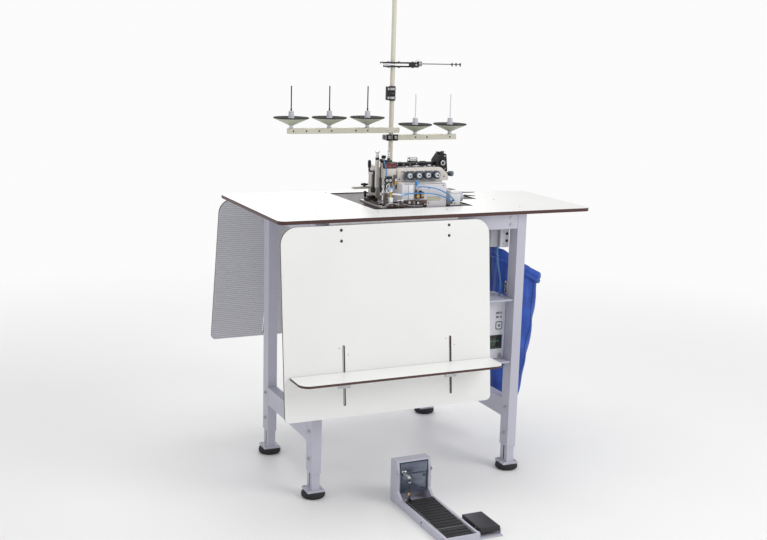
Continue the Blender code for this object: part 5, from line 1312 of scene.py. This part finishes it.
def dress_drive():
    dress("puller_shaft", ["black_oxide"], None, 0.0006)
    dress(
        "puller_housing", ["black_oxide", "dial_plastic"],
        lambda p: 1 if (
            nodes["puller_housing"].matrix_world @ p.center
        ).x > 0.1605 and (nodes["puller_housing"].matrix_world @ p.center).y < STATION_Y - 0.034 else 0,
        0.0012,
    )
    dress("motor_housing", ["white_plastic"], None, 0.0008)
    dress("handwheel", ["powder_coat"], None, 0.001)
    piece = Piece()
    for x in (-0.02, 0.03):
        ring(piece, st(x, 0, 1.1215), X, 0.0078, 0.006, 0.005, "steel_dark", 24)
    knurl(piece, st(0.0605, 0, 1.1215), X, 0.0081, 0.0235, "steel_dark", 20, 0.0005)
    piece.done("shaft_collars", "puller")

    piece = Piece()
    front = -0.0221
    for x, z, radius in ((0.13, 1.095, 0.0034), (0.153, 1.149, 0.0034), (0.156, 1.102, 0.003)):
        screw(piece, st(x, front, z), -Y, radius, "zinc", "socket", 0.0026)
    piece.turned(disc(0.012, 0.005, 0.0012), st(0.144, front, 1.124), -Y, "black_oxide", 32)
    ring(piece, st(0.144, front - 0.005, 1.124), -Y, 0.0092, 0.006, 0.0018, "chrome", 32)
    screw(piece, st(0.144, front - 0.0052, 1.124), -Y, 0.0042, "steel_dark", "slot", 0.002)
    piece.block(st(0.132, -0.01, 1.157), st(0.144, 0.01, 1.164), "black_oxide", 0.002)
    piece.turned(
        [(0, 0), (0.0062, 0), (0.0062, 0.004), (0.007, 0.005), (0.007, 0.0085), (0.0058, 0.01), (0, 0.0102)],
        st(0.154, 0, 1.1555), Z, "dial_plastic", 24,
    )
    piece.turned(disc(0.0075, 0.005, 0.0012), st(0.1635, 0.002, 1.133), (1, 0, 0.25), "chrome", 28)
    screw(piece, st(0.1688, 0.002, 1.1344), (1, 0, 0.25), 0.0036, "zinc", "slot", 0.002)
    ring(piece, st(0.169, -0.042, 1.086), (0.55, -0.8, 0), 0.0101, 0.0085, 0.003, "steel_dark", 28)
    piece.block(st(0.113, -0.014, 1.102), st(0.13, 0.014, 1.114), "black_oxide", 0.002)
    # The vent slots are dark strips of painted shade.
    for k in range(5):
        piece.block(
            st(0.1235 + 0.006 * k, 0.0218, 1.098), st(0.1265 + 0.006 * k, 0.0228, 1.14), "slot_painted_shade", 0.0003
        )
    piece.done("puller_details", "station")

    piece = Piece()
    low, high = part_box("motor_housing")
    # A dark line of painted shade marks the seam under the housing's top.
    piece.block(
        (low.x + 0.002, low.y - 0.0002, high.z - 0.0105), (high.x - 0.002, low.y + 0.001, high.z - 0.0098),
        "slot_painted_shade", 0,
    )
    for x in (low.x + 0.0065, high.x - 0.0055):
        for z in (low.z + 0.007, high.z - 0.0055):
            if not (x < 0.13 and z < 1.0):
                screw(piece, (x, low.y - 0.0001, z), -Y, 0.0022, "zinc", "cross", 0.0012)
    for x, z, finish in ((0.13, 1.001, "blue_plastic"), (0.1235, 0.993, "brass")):
        ring(piece, (x, low.y + 0.0004, z), -Y, 0.004, 0.00235, 0.0042, finish, 20)
    for k in range(6):
        y = low.y + 0.02 + 0.008 * k
        piece.block(
            (low.x + 0.008, y, high.z - 0.0002), (high.x - 0.008, y + 0.003, high.z + 0.0006), "mark_grey",
            0.0002,
        )
    screw(piece, (0.14, low.y - 0.0001, 0.9905), -Y, 0.0026, "brass", "hex", 0.0016)
    piece.done("motor_details", "station")

    piece = Piece()
    low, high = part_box("handwheel")
    middle = Vector((low.x, -0.098 + STATION_Y, 1.0075))
    knurl(piece, middle + X * 0.003, X, 0.0172, 0.018, "powder_coat", 40, 0.0007)
    # The raised ring is in the paler edge powder coat, partly wear and partly painted highlight.
    ring(piece, middle + X * 0.0238, X, 0.015, 0.01, 0.0012, "powder_edge_wear_and_highlight", 36)
    # The three holes are dark discs of painted shade.
    for k in range(3):
        angle = math.radians(120 * k + 20)
        at = middle + X * 0.0241 + Y * 0.0122 * math.cos(angle) + Z * 0.0122 * math.sin(angle)
        piece.turned(disc(0.0016, 0.0012, 0.0002), at, X, "slot_painted_shade", 14)
    screw(piece, middle + X * 0.0301, X, 0.0045, "steel_dark", "socket", 0.0022)
    piece.done("handwheel_grip", "wheel")

    for name in ("air_hose_upper", "air_hose_lower"):
        dress(name, ["hose_blue"])

    piece = Piece()
    # Dark locating fingers that reach from the sunk plate on to the table.
    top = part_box("table_top")[1].z + 0.0002
    for outline in (
        smooth_path(
            [
                (0.298, 0.172, 0), (0.322, 0.166, 0), (0.352, 0.152, 0), (0.38, 0.147, 0), (0.35, 0.142, 0),
                (0.322, 0.148, 0), (0.298, 0.15, 0),
            ],
            5,
        ),
        smooth_path(
            [(0.298, 0.086, 0), (0.312, 0.072, 0), (0.326, 0.046, 0), (0.309, 0.056, 0), (0.298, 0.06, 0)], 5
        ),
    ):
        piece.prism(
            [(p.x, p.y + STATION_Y) for p in outline], (0, 0, top), X, Y, 0.002, "sunk_enamel", 0.0005
        )
    piece.done("plate_fingers", "station")


# Pedal


def dress_pedal():
    # The base's bevels take the paler powder coat: partly edge wear, partly a painted highlight.
    dress("pedal_base", ["powder_coat", "powder_edge_wear_and_highlight"], None, 0.0014, 1, 3)
    dress("switch_box", ["switch_enamel"], None, 0.0022, None, 3)
    dress("treadle", ["rubber"], None, 0.0012)
    dress("treadle_link", ["bronze_dark"], None, 0.0004)
    dress("switch_arm", ["zinc"], None, 0.0006)
    dress("small_pedal", ["black_plastic"], None, 0.0045, None, 3)
    tilt = Matrix.Rotation(math.radians(1.7), 3, "X")
    low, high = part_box("treadle")
    pivot = st(-0.142, -0.792, 0.017)
    half = (high.x - low.x) / 2 - 0.0035
    piece = Piece()
    ribs = 15
    for i in range(ribs):
        along = 0.008 + 0.0196 * i
        if i == 3:
            piece.block(
                pivot + Vector((-half, along - 0.001, 0.0044)),
                pivot + Vector((half, along + 0.0015, 0.0052)), "mark_grey", 0.0003, tilt, pivot,
            )
            continue
        piece.block(
            pivot + Vector((-half, along - 0.0066, 0.004)), pivot + Vector((half, along + 0.0066, 0.0066)),
            "rubber", 0.0012, tilt, pivot,
        )
    piece.block(
        pivot + Vector((-half - 0.002, -0.003, 0.0036)), pivot + Vector((-half - 0.0002, 0.292, 0.0056)),
        "zinc", 0.0005, tilt, pivot,
    )
    piece.block(
        pivot + Vector((half + 0.0002, -0.003, 0.0036)), pivot + Vector((half + 0.002, 0.292, 0.0056)),
        "zinc", 0.0005, tilt, pivot,
    )
    piece.done("treadle_mat", "treadle")

    low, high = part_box("switch_box")
    middle = (low.x + high.x) / 2
    piece = Piece()
    face = low.y
    piece.block(
        (low.x + 0.001, face - 0.0034, high.z - 0.036), (high.x - 0.001, face + 0.001, high.z - 0.001),
        "switch_enamel", 0.003,
    )
    for z in (high.z - 0.0345, high.z - 0.0205, high.z - 0.0065):
        piece.tube(
            [(low.x + 0.006, face - 0.0034, z), (high.x - 0.006, face - 0.0034, z)], 0.0017, "switch_enamel",
            10,
        )
    # A dark line of painted shade marks the gap under the lid.
    piece.block(
        (low.x + 0.003, face - 0.0004, high.z - 0.0395), (high.x - 0.003, face + 0.001, high.z - 0.0365),
        "slot_painted_shade", 0.0003,
    )
    panel = round_outline(low.x + 0.006, high.x - 0.006, low.z + 0.005, high.z - 0.042, 0.013, 6)
    piece.prism(panel, (0, face + 0.0004, 0), X, Z, 0.0026, "switch_enamel", 0.001)
    for share in (0.41, 0.88):
        screw(
            piece, (low.x + (high.x - low.x) * share, face - 0.0021, high.z - 0.0505), -Y, 0.0044,
            "black_oxide", "cross", 0.0022,
        )
    for x in (low.x + 0.018, high.x - 0.018):
        screw(piece, (x, face - 0.0021, low.z + 0.014), -Y, 0.0028, "black_oxide", "cross", 0.0016)
    badge = round_outline(middle - 0.014, middle + 0.014, low.z + 0.03, low.z + 0.044, 0.003, 4)
    piece.prism(badge, (0, face - 0.002, 0), X, Z, 0.0006, "switch_enamel", 0.0002)
    left_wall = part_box("pedal_base")[0].x
    at = Vector((left_wall, st(0, -0.449, 0).y, 0.117))
    ring(piece, at, -X, 0.0075, 0.003, 0.0014, "zinc", 24)
    screw(piece, at - X * 0.001, -X, 0.0046, "zinc", "hex", 0.003)
    screw(piece, (left_wall, st(0, -0.792, 0).y, 0.017), -X, 0.0046, "zinc", "socket", 0.0032)
    screw(piece, (left_wall, st(0, -0.64, 0).y, 0.014), -X, 0.0036, "steel_dark", "cross", 0.002)
    right_wall = st(-0.077, 0, 0).x
    screw(piece, (right_wall, st(0, -0.449, 0).y, 0.117), X, 0.0046, "zinc", "hex", 0.003)
    base_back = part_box("pedal_base")[1].y
    for y in (-0.8, -0.41):
        for x in (left_wall + 0.005, right_wall - 0.005):
            piece.turned(
                [(0, 0), (0.004, 0), (0.0046, 0.003), (0, 0.0034)], (x, st(0, y, 0).y, 0.0002), Z, "rubber",
                18,
            )
    piece.block(
        (left_wall + 0.01, base_back - 0.0004, 0.04), (right_wall - 0.01, base_back + 0.0014, 0.13),
        "powder_coat", 0.0012,
    )
    for x in (left_wall + 0.018, right_wall - 0.018):
        for z in (0.048, 0.122):
            screw(piece, (x, base_back + 0.0012, z), Y, 0.0034, "zinc", "cross", 0.0018)
    ring(
        piece, ((left_wall + right_wall) / 2, base_back + 0.0012, 0.07), Y, 0.0085, 0.0042, 0.005,
        "black_plastic", 24,
    )
    piece.done("pedal_fittings", "station")

    piece = Piece()
    x, y = -0.187, st(0, -0.504, 0).y
    ring(piece, (x, y, 0.055), Z, 0.0042, 0.0024, 0.01, "brass", 18)
    ring(piece, (x, y, 0.098), Z, 0.004, 0.0024, 0.004, "zinc", 6)
    piece.done("link_collars", "treadle")
    piece = Piece()
    ring(piece, (x - 0.0048, y + 0.002, 0.117), X, 0.0052, 0.002, 0.002, "chrome", 20)
    piece.turned(
        [(0, 0), (0.0032, 0.0004), (0.0046, 0.0034), (0.0032, 0.0064), (0, 0.0068)], (x - 0.0034, y, 0.117),
        X, "chrome", 20,
    )
    piece.done("arm_ball", "switch_arm")

    low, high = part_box("small_pedal")
    piece = Piece()
    piece.turned(disc(0.003, 0.002, 0.0006), (low.x + 0.0004, low.y + 0.03, low.z + 0.01), -X, "brass", 18)
    piece.block(
        (low.x + 0.004, low.y - 0.0008, low.z + 0.002), (high.x - 0.004, low.y + 0.002, low.z + 0.0075),
        "rubber", 0.001,
    )
    piece.done("small_pedal_trim", "small_pedal")


# Control gear on the right leg


def dress_control():
    dress("control_box", ["box_paint"], None, 0.0016, None, 3)
    dress(
        "valve_box", ["grey_bracket", "box_paint"],
        lambda p: 1 if (nodes["valve_box"].matrix_world @ p.center).x > 0.2785 else 0, 0.001,
    )
    dress("control_cable", ["cable"])
    low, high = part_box("control_box")
    face = low.y
    piece = Piece()
    # Blank marks, a rounded badge, the display and the vents.
    for k, (left, right) in enumerate(((0.273, 0.288), (0.291, 0.297))):
        piece.block((left, face - 0.0004, 0.59), (right, face + 0.001, 0.5985), "mark_grey", 0.0002)
        piece.block(
            (left, face - 0.0004, 0.5745), (right - 0.003 * (1 - k), face + 0.001, 0.583), "mark_grey", 0.0002
        )
    badge = round_outline(0.2725, 0.3015, 0.531, 0.5625, 0.0065, 5)
    piece.prism(badge, (0, face + 0.0004, 0), X, Z, 0.0012, "mark_grey", 0.0003)
    inner = round_outline(0.2765, 0.2975, 0.535, 0.5585, 0.0045, 5)
    piece.prism(inner, (0, face - 0.0006, 0), X, Z, 0.0005, "box_paint")
    piece.turned(disc(0.0055, 0.0005, 0.0001), (0.287, face - 0.001, 0.5468), -Y, "mark_grey", 24)
    piece.block((0.238, face - 0.0022, 0.459), (0.302, face + 0.001, 0.511), "black_plastic", 0.002)
    piece.block((0.242, face - 0.0027, 0.47), (0.298, face - 0.001, 0.506), "screen", 0.0008)
    for k in range(4):
        piece.turned(
            disc(0.0018, 0.0008, 0.0003), (0.2495 + 0.0135 * k, face - 0.0021, 0.4645), -Y, "pilot_green", 14
        )
    for k in range(3):
        piece.block(
            (0.252 + 0.014 * k, face - 0.0029, 0.487), (0.26 + 0.014 * k, face - 0.0024, 0.49), "pilot_green",
            0.0001,
        )
    # The vent slots are dark strips of painted shade.
    for k in range(4):
        piece.block(
            (0.2885 + 0.0036 * k, face - 0.0003, 0.424), (0.29 + 0.0036 * k, face + 0.001, 0.442),
            "slot_painted_shade", 0.0002,
        )
        piece.block(
            (0.19 + 0.008 * k, face - 0.0003, 0.43), (0.194 + 0.008 * k, face + 0.001, 0.438), "slot_painted_shade",
            0.0002,
        )
    for x in (low.x + 0.008, high.x - 0.008):
        for z in (low.z + 0.008, high.z - 0.008):
            screw(piece, (x, face, z), -Y, 0.003, "zinc", "cross", 0.0016)
    # Left side: switch and sockets; back: cooling fins.
    piece.block(
        (low.x - 0.0016, low.y + 0.024, 0.56), (low.x + 0.001, low.y + 0.048, 0.592), "black_plastic", 0.0014
    )
    piece.block(
        (low.x - 0.0032, low.y + 0.029, 0.564), (low.x - 0.001, low.y + 0.043, 0.588), "black_plastic", 0.001
    )
    # Each socket's mouth is a dark disc of painted shade.
    for z in (0.455, 0.485, 0.515):
        ring(piece, (low.x, low.y + 0.036, z), -X, 0.0085, 0.005, 0.0034, "steel_dark", 24)
        piece.turned(disc(0.005, 0.001, 0.0002), (low.x, low.y + 0.036, z), -X, "slot_painted_shade", 20)
    for k in range(9):
        x = low.x + 0.018 + 0.0135 * k
        piece.block(
            (x, high.y - 0.0005, low.z + 0.04), (x + 0.003, high.y + 0.005, high.z - 0.04), "zinc", 0.0007
        )
    piece.done("control_box_details", "station")

    frame_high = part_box("right_frame")[1]
    leg_left = frame_high.x - 0.035
    piece = Piece()
    for x in (0.271, 0.308):
        at = Vector((x, -0.22 + STATION_Y, 0.654))
        piece.turned(disc(0.0036, 0.003, 0.0008), at, Z, "zinc", 18)
        screw(piece, at + Z * 0.003, Z, 0.0034, "zinc", "cross", 0.0018)
    for x in (0.18, 0.225, 0.29):
        screw(piece, (x, -0.27 + STATION_Y, 0.6541), Z, 0.0032, "zinc", "cross", 0.0016)
        screw(piece, (x, -0.27 + STATION_Y, 0.4144), -Z, 0.0032, "zinc", "cross", 0.0016)
    # Pull latch with its ring, and the dark hand knob under it, on the leg's inner face.
    y = -0.244 + STATION_Y
    piece.block((leg_left - 0.005, y - 0.01, 0.662), (leg_left + 0.0004, y + 0.01, 0.712), "zinc", 0.0016)
    piece.turned(disc(0.004, 0.008, 0.001), (leg_left - 0.0125, y, 0.701), X, "steel_dark", 20)
    loop = oval((leg_left - 0.0095, y, 0.681), Y, Z, 0.0075, 0.0105, full_turn(28))
    piece.tube(loop, 0.0013, "black_oxide", 8, True)
    piece.turned(disc(0.0036, 0.01, 0.0008), (leg_left - 0.01, y, 0.3955), X, "black_oxide", 20)
    piece.turned(
        [(0, 0), (0.0055, 0.0006), (0.0078, 0.004), (0.0078, 0.008), (0.005, 0.011), (0, 0.0115)],
        (leg_left - 0.0205, y, 0.3955), X, "black_plastic", 24,
    )
    piece.done("leg_latch", "station")

    low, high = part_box("valve_box")
    piece = Piece()
    face = low.y
    screw(piece, (high.x - 0.01, face, 0.888), -Y, 0.004, "black_oxide", "hex", 0.0034)
    screw(piece, (high.x - 0.01, face, 0.862), -Y, 0.004, "black_oxide", "hex", 0.0034)
    piece.block(
        (high.x - 0.033, face - 0.0014, 0.846), (high.x - 0.016, face + 0.001, 0.902), "box_paint", 0.001
    )
    for z in (0.853, 0.895):
        screw(piece, (high.x - 0.0245, face - 0.0014, z), -Y, 0.0024, "zinc", "cross", 0.0012)
    for z in (0.85, 0.9):
        screw(piece, (low.x + 0.01, face + 0.012, z), -Y, 0.0028, "zinc", "cross", 0.0014)
    collet = Vector((0.283, -0.215 + STATION_Y, low.z))
    piece.turned(
        [(0, -0.009), (0.0042, -0.0088), (0.0042, -0.002), (0.0052, -0.001), (0.0052, 0.001), (0, 0.001)],
        collet, Z, "blue_plastic", 20,
    )
    piece.tube(
        smooth_path(
            [
                collet - Z * 0.006, collet - Z * 0.04 + X * 0.002, Vector((0.294, -0.213 + STATION_Y, 0.75)),
                Vector((0.302, -0.216 + STATION_Y, 0.7)), Vector((0.299, -0.216 + STATION_Y, 0.6545)),
            ],
        ),
        0.003, "hose_blue", 12,
    )
    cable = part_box("control_cable")
    for z in (cable[1].z - 0.006, cable[0].z + 0.0062):
        ring(piece, (0.256, -0.205 + STATION_Y, z - 0.003), Z, 0.006, 0.0029, 0.0075, "black_plastic", 20)
    piece.done("valve_fittings", "station")


# Waste bag

BAG_TOP, BAG_LOW_RIM, BAG_FLOOR = 0.8, 0.697, 0.165
BAG_X, BAG_Y = (0.372, 0.545), (-0.11 + STATION_Y, 0.1 + STATION_Y)
BAG_FLOOR_X = (0.385, 0.474)
BAG_CORNER = 0.03
# The cut is a tapered wrap with a floor, worked out from the hoop and the floor, with room for the gathers.
BAG_FULLNESS = 1.12
BAG_FLOOR_INSET, BAG_FLOOR_CORNER = 0.02, 0.04
BAG_STEPS, BAG_LEVELS = 120, 64


def rounded_perimeter(width, depth, corner):
    return 2 * (width + depth) - (8 - 2 * math.pi) * corner


def bag_cut():
    """Width, length and area of the bag's cloth before sewing."""
    width, depth = BAG_X[1] - BAG_X[0], BAG_Y[1] - BAG_Y[0]
    floor_width, floor_depth = BAG_FLOOR_X[1] - BAG_FLOOR_X[0], depth - 2 * BAG_FLOOR_INSET
    rim = rounded_perimeter(width, depth, BAG_CORNER) * BAG_FULLNESS
    foot = rounded_perimeter(floor_width, floor_depth, BAG_FLOOR_CORNER) * BAG_FULLNESS
    long_side = math.hypot(BAG_TOP - BAG_FLOOR, BAG_FLOOR_X[0] - BAG_X[0])
    short_side = math.hypot(BAG_LOW_RIM - BAG_FLOOR, BAG_X[1] - BAG_FLOOR_X[1])
    wrap = (rim + foot) / 2 * (long_side + short_side) / 2
    return rim, long_side, wrap + floor_width * floor_depth


def rim_height(x):
    share = (x - BAG_X[0]) / (BAG_X[1] - BAG_X[0])
    return BAG_TOP + (BAG_LOW_RIM - BAG_TOP) * min(1, max(0, share))


def bag_section(share):
    """The bag's outline at a share of the way from rim to floor: (angle, x, y) points of a rounded oblong."""
    left = BAG_X[0] + (BAG_FLOOR_X[0] - BAG_X[0]) * share
    right = BAG_FLOOR_X[1] + (BAG_X[1] - BAG_FLOOR_X[1]) * (1 - share) ** 0.5
    front, back = BAG_Y[0] + 0.02 * share, BAG_Y[1] - 0.02 * share
    corner = BAG_CORNER + 0.01 * share
    outline = [Vector((x, y)) for x, y in round_outline(left, right, front, back, corner, 10)]
    outline.append(outline[0])
    reach = [0.0]
    for a, b in zip(outline, outline[1:]):
        reach.append(reach[-1] + (b - a).length)
    points, k = [], 0
    for i in range(BAG_STEPS):
        goal = reach[-1] * (i + 0.5) / BAG_STEPS
        while reach[k + 1] < goal:
            k += 1
        place = outline[k].lerp(outline[k + 1], (goal - reach[k]) / (reach[k + 1] - reach[k]))
        points.append((2 * math.pi * (i + 0.5) / BAG_STEPS, place.x, place.y))
    return points


def fold_depth(angle, share):
    """How far the cloth stands in or out: gathers under the hem, pleats that fade, and slack creases."""
    gather = 0.0042 * math.exp(-share * 7) * math.sin(angle * 17 + 1.3 * math.sin(angle * 3))
    pleat = 0.0048 * math.sin(angle * 5 + share * 2.4 + 0.8) * min(1, share * 3) * (1 - 0.45 * share)
    diagonal = 0.003 * math.sin(
        angle * 9 - share * 15 + 2.0 * math.sin(share * 6 + angle)
    ) * min(1, share * 5)
    sag = 0.0034 * math.sin(share * 21 + 2.2 * math.sin(angle * 2)) * max(0, share - 0.35) * 1.6
    return gather + pleat + diagonal + sag


def bag_point(angle, x, y, share, lift=0.0):
    centre_x = (BAG_X[0] + BAG_X[1]) / 2 + (sum(BAG_FLOOR_X) - sum(BAG_X)) / 2 * share
    centre_y = sum(BAG_Y) / 2
    out = Vector((x - centre_x, (y - centre_y) * 0.7, 0)).normalized()
    depth = fold_depth(angle, share) + lift - 0.0052 + 0.012 * min(1, share * 2.5) * (1 - share**6)
    top = rim_height(x)
    z = top + (BAG_FLOOR - top) * share
    return Vector((x, y, z)) + out * depth


def make_bag():
    shape = bmesh.new()
    rings = []
    for level in range(BAG_LEVELS + 1):
        share = level / BAG_LEVELS
        rings.append([shape.verts.new(bag_point(a, x, y, share)) for a, x, y in bag_section(share)])
    for upper, lower in zip(rings, rings[1:]):
        for i in range(BAG_STEPS):
            j = (i + 1) % BAG_STEPS
            shape.faces.new((upper[i], lower[i], lower[j], upper[j]))
    # The floor closes in rings towards the middle, rippled a little up and down.
    last = rings[-1]
    middle = sum((v.co for v in last), Vector()) / len(last)
    for k in range(1, 6):
        share = k / 6
        inner = []
        for v in last if k == 1 else inner_ring:
            goal = middle + (v.co - middle) * ((6 - k) / (7 - k))
            inner.append(
                shape.verts.new(
                    Vector(
                        (
                            goal.x, goal.y,
                            BAG_FLOOR + 0.004 * share * math.sin(goal.x * 90) * math.sin(goal.y * 70),
                        ),
                    ),
                ),
            )
        source = last if k == 1 else inner_ring
        for i in range(BAG_STEPS):
            j = (i + 1) % BAG_STEPS
            shape.faces.new((source[i], inner[i], inner[j], source[j]))
        inner_ring = inner
    shape.faces.new(list(reversed(inner_ring)))
    bmesh.ops.recalc_face_normals(shape, faces=shape.faces)
    mesh = bpy.data.meshes.new("waste_bag_cloth")
    shape.to_mesh(mesh)
    shape.free()
    mesh.materials.append(finishes["bag_cloth"])
    mesh.materials.append(finishes["bag_lining"])
    mesh.shade_smooth()
    bag = bpy.data.objects.new("waste_bag_cloth", mesh)
    bpy.context.scene.collection.objects.link(bag)
    thickness = bag.modifiers.new("cloth", "SOLIDIFY")
    thickness.thickness = 0.0011
    thickness.offset = -1
    thickness.material_offset = 1
    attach(bag, "station")
    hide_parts("waste_bag")

    # The hem is turned over the wire hoop in two rolls and stitched under each.
    section = bag_section(0.0)
    middle = Vector((sum(BAG_X) / 2, sum(BAG_Y) / 2, 0))
    half_width, half_depth = (BAG_X[1] - BAG_X[0]) / 2, (BAG_Y[1] - BAG_Y[0]) / 2

    def hem_point(index, lift, drop):
        angle, x, y = section[index % BAG_STEPS]
        after, before = section[(index + 1) % BAG_STEPS], section[(index - 1) % BAG_STEPS]
        along = Vector((after[1] - before[1], after[2] - before[2], 0)).normalized()
        out = along.cross(Z)
        # The front hangs a little lower between the corners.
        across = 1 - min(1, abs(x - middle.x) / half_width)
        sag = 0.006 * across * max(0, (middle.y - y) / half_depth)
        wave = 0.0007 * math.sin(angle * 17) + 0.0006 * math.sin(angle * 9 + 1 + drop * 300)
        return Vector((x, y, rim_height(x) + drop - sag)) + out * (lift + wave)

    outside = [
        (0.002, 0.002), (0.0062, 0.0012), (0.0098, -0.004), (0.0112, -0.014), (0.0096, -0.0215),
        (0.0062, -0.0255), (0.0086, -0.03), (0.0088, -0.036), (0.005, -0.041), (-0.0008, -0.042),
    ]
    inside = [
        (-0.0008, -0.042), (-0.0028, -0.033), (-0.0034, -0.02), (-0.0028, -0.006), (-0.0012, 0.0006),
        (0.002, 0.002),
    ]
    piece = Piece()
    for profile, finish in ((outside, "bag_cloth"), (inside, "bag_lining")):
        made = bmesh.new()
        rows = [
            [made.verts.new(hem_point(i, lift, drop)) for lift, drop in profile] for i in range(BAG_STEPS)
        ]
        for i in range(BAG_STEPS):
            a, b = rows[i], rows[(i + 1) % BAG_STEPS]
            for k in range(len(profile) - 1):
                made.faces.new((a[k], b[k], b[k + 1], a[k + 1]))
        piece.take(made, finish)
    for lift, drop in ((0.0066, -0.0245), (0.0066, -0.0268), (0.0052, -0.0402)):
        for i in range(BAG_STEPS):
            start, end = hem_point(i, lift, drop), hem_point(i + 1, lift, drop)
            piece.tube([start + (end - start) * 0.15, start + (end - start) * 0.85], 0.00035, "webbing", 5)
    hem = piece.done("waste_bag_hem", "station", 60)
    piece = Piece()
    # Side seams and the base seam.
    for index in (0, BAG_STEPS // 2):
        seam = []
        for level in range(2, BAG_LEVELS + 1):
            share = level / BAG_LEVELS
            a, x, y = bag_section(share)[index]
            seam.append(bag_point(a, x, y, share, 0.0006))
        piece.tube(seam, 0.0013, "webbing", 8)
    base = [bag_point(a, x, y, 1.0, 0.0004) + Z * 0.004 for a, x, y in bag_section(1.0)]
    piece.tube(base, 0.0013, "webbing", 8, True)
    seams = piece.done("waste_bag_seams", "station", 60)
    # Cut as one piece that goes round the mouth, with the floor folded in from its lower edge.
    cut_width, cut_length, cut_area = bag_cut()

    dress("bag_hoop", ["black_oxide"], None, 0.0)
    low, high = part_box("bag_hoop")
    piece = Piece()
    for y in (-0.075 + STATION_Y, 0.065 + STATION_Y):
        for z in (high.z - 0.006, high.z - 0.016):
            for side in (-0.0075, 0.0075):
                screw(piece, (low.x + 0.0165, y + side, z), X, 0.0022, "zinc", "cross", 0.0012)
    piece.done("hoop_screws", "station")


make_finishes()
make_camera()
make_studio()
dress_table()
dress_aprons()
dress_frame()
dress_stand()
dress_covers()
dress_dials()
dress_sewing()
dress_drive()
dress_pedal()
dress_control()
make_bag()
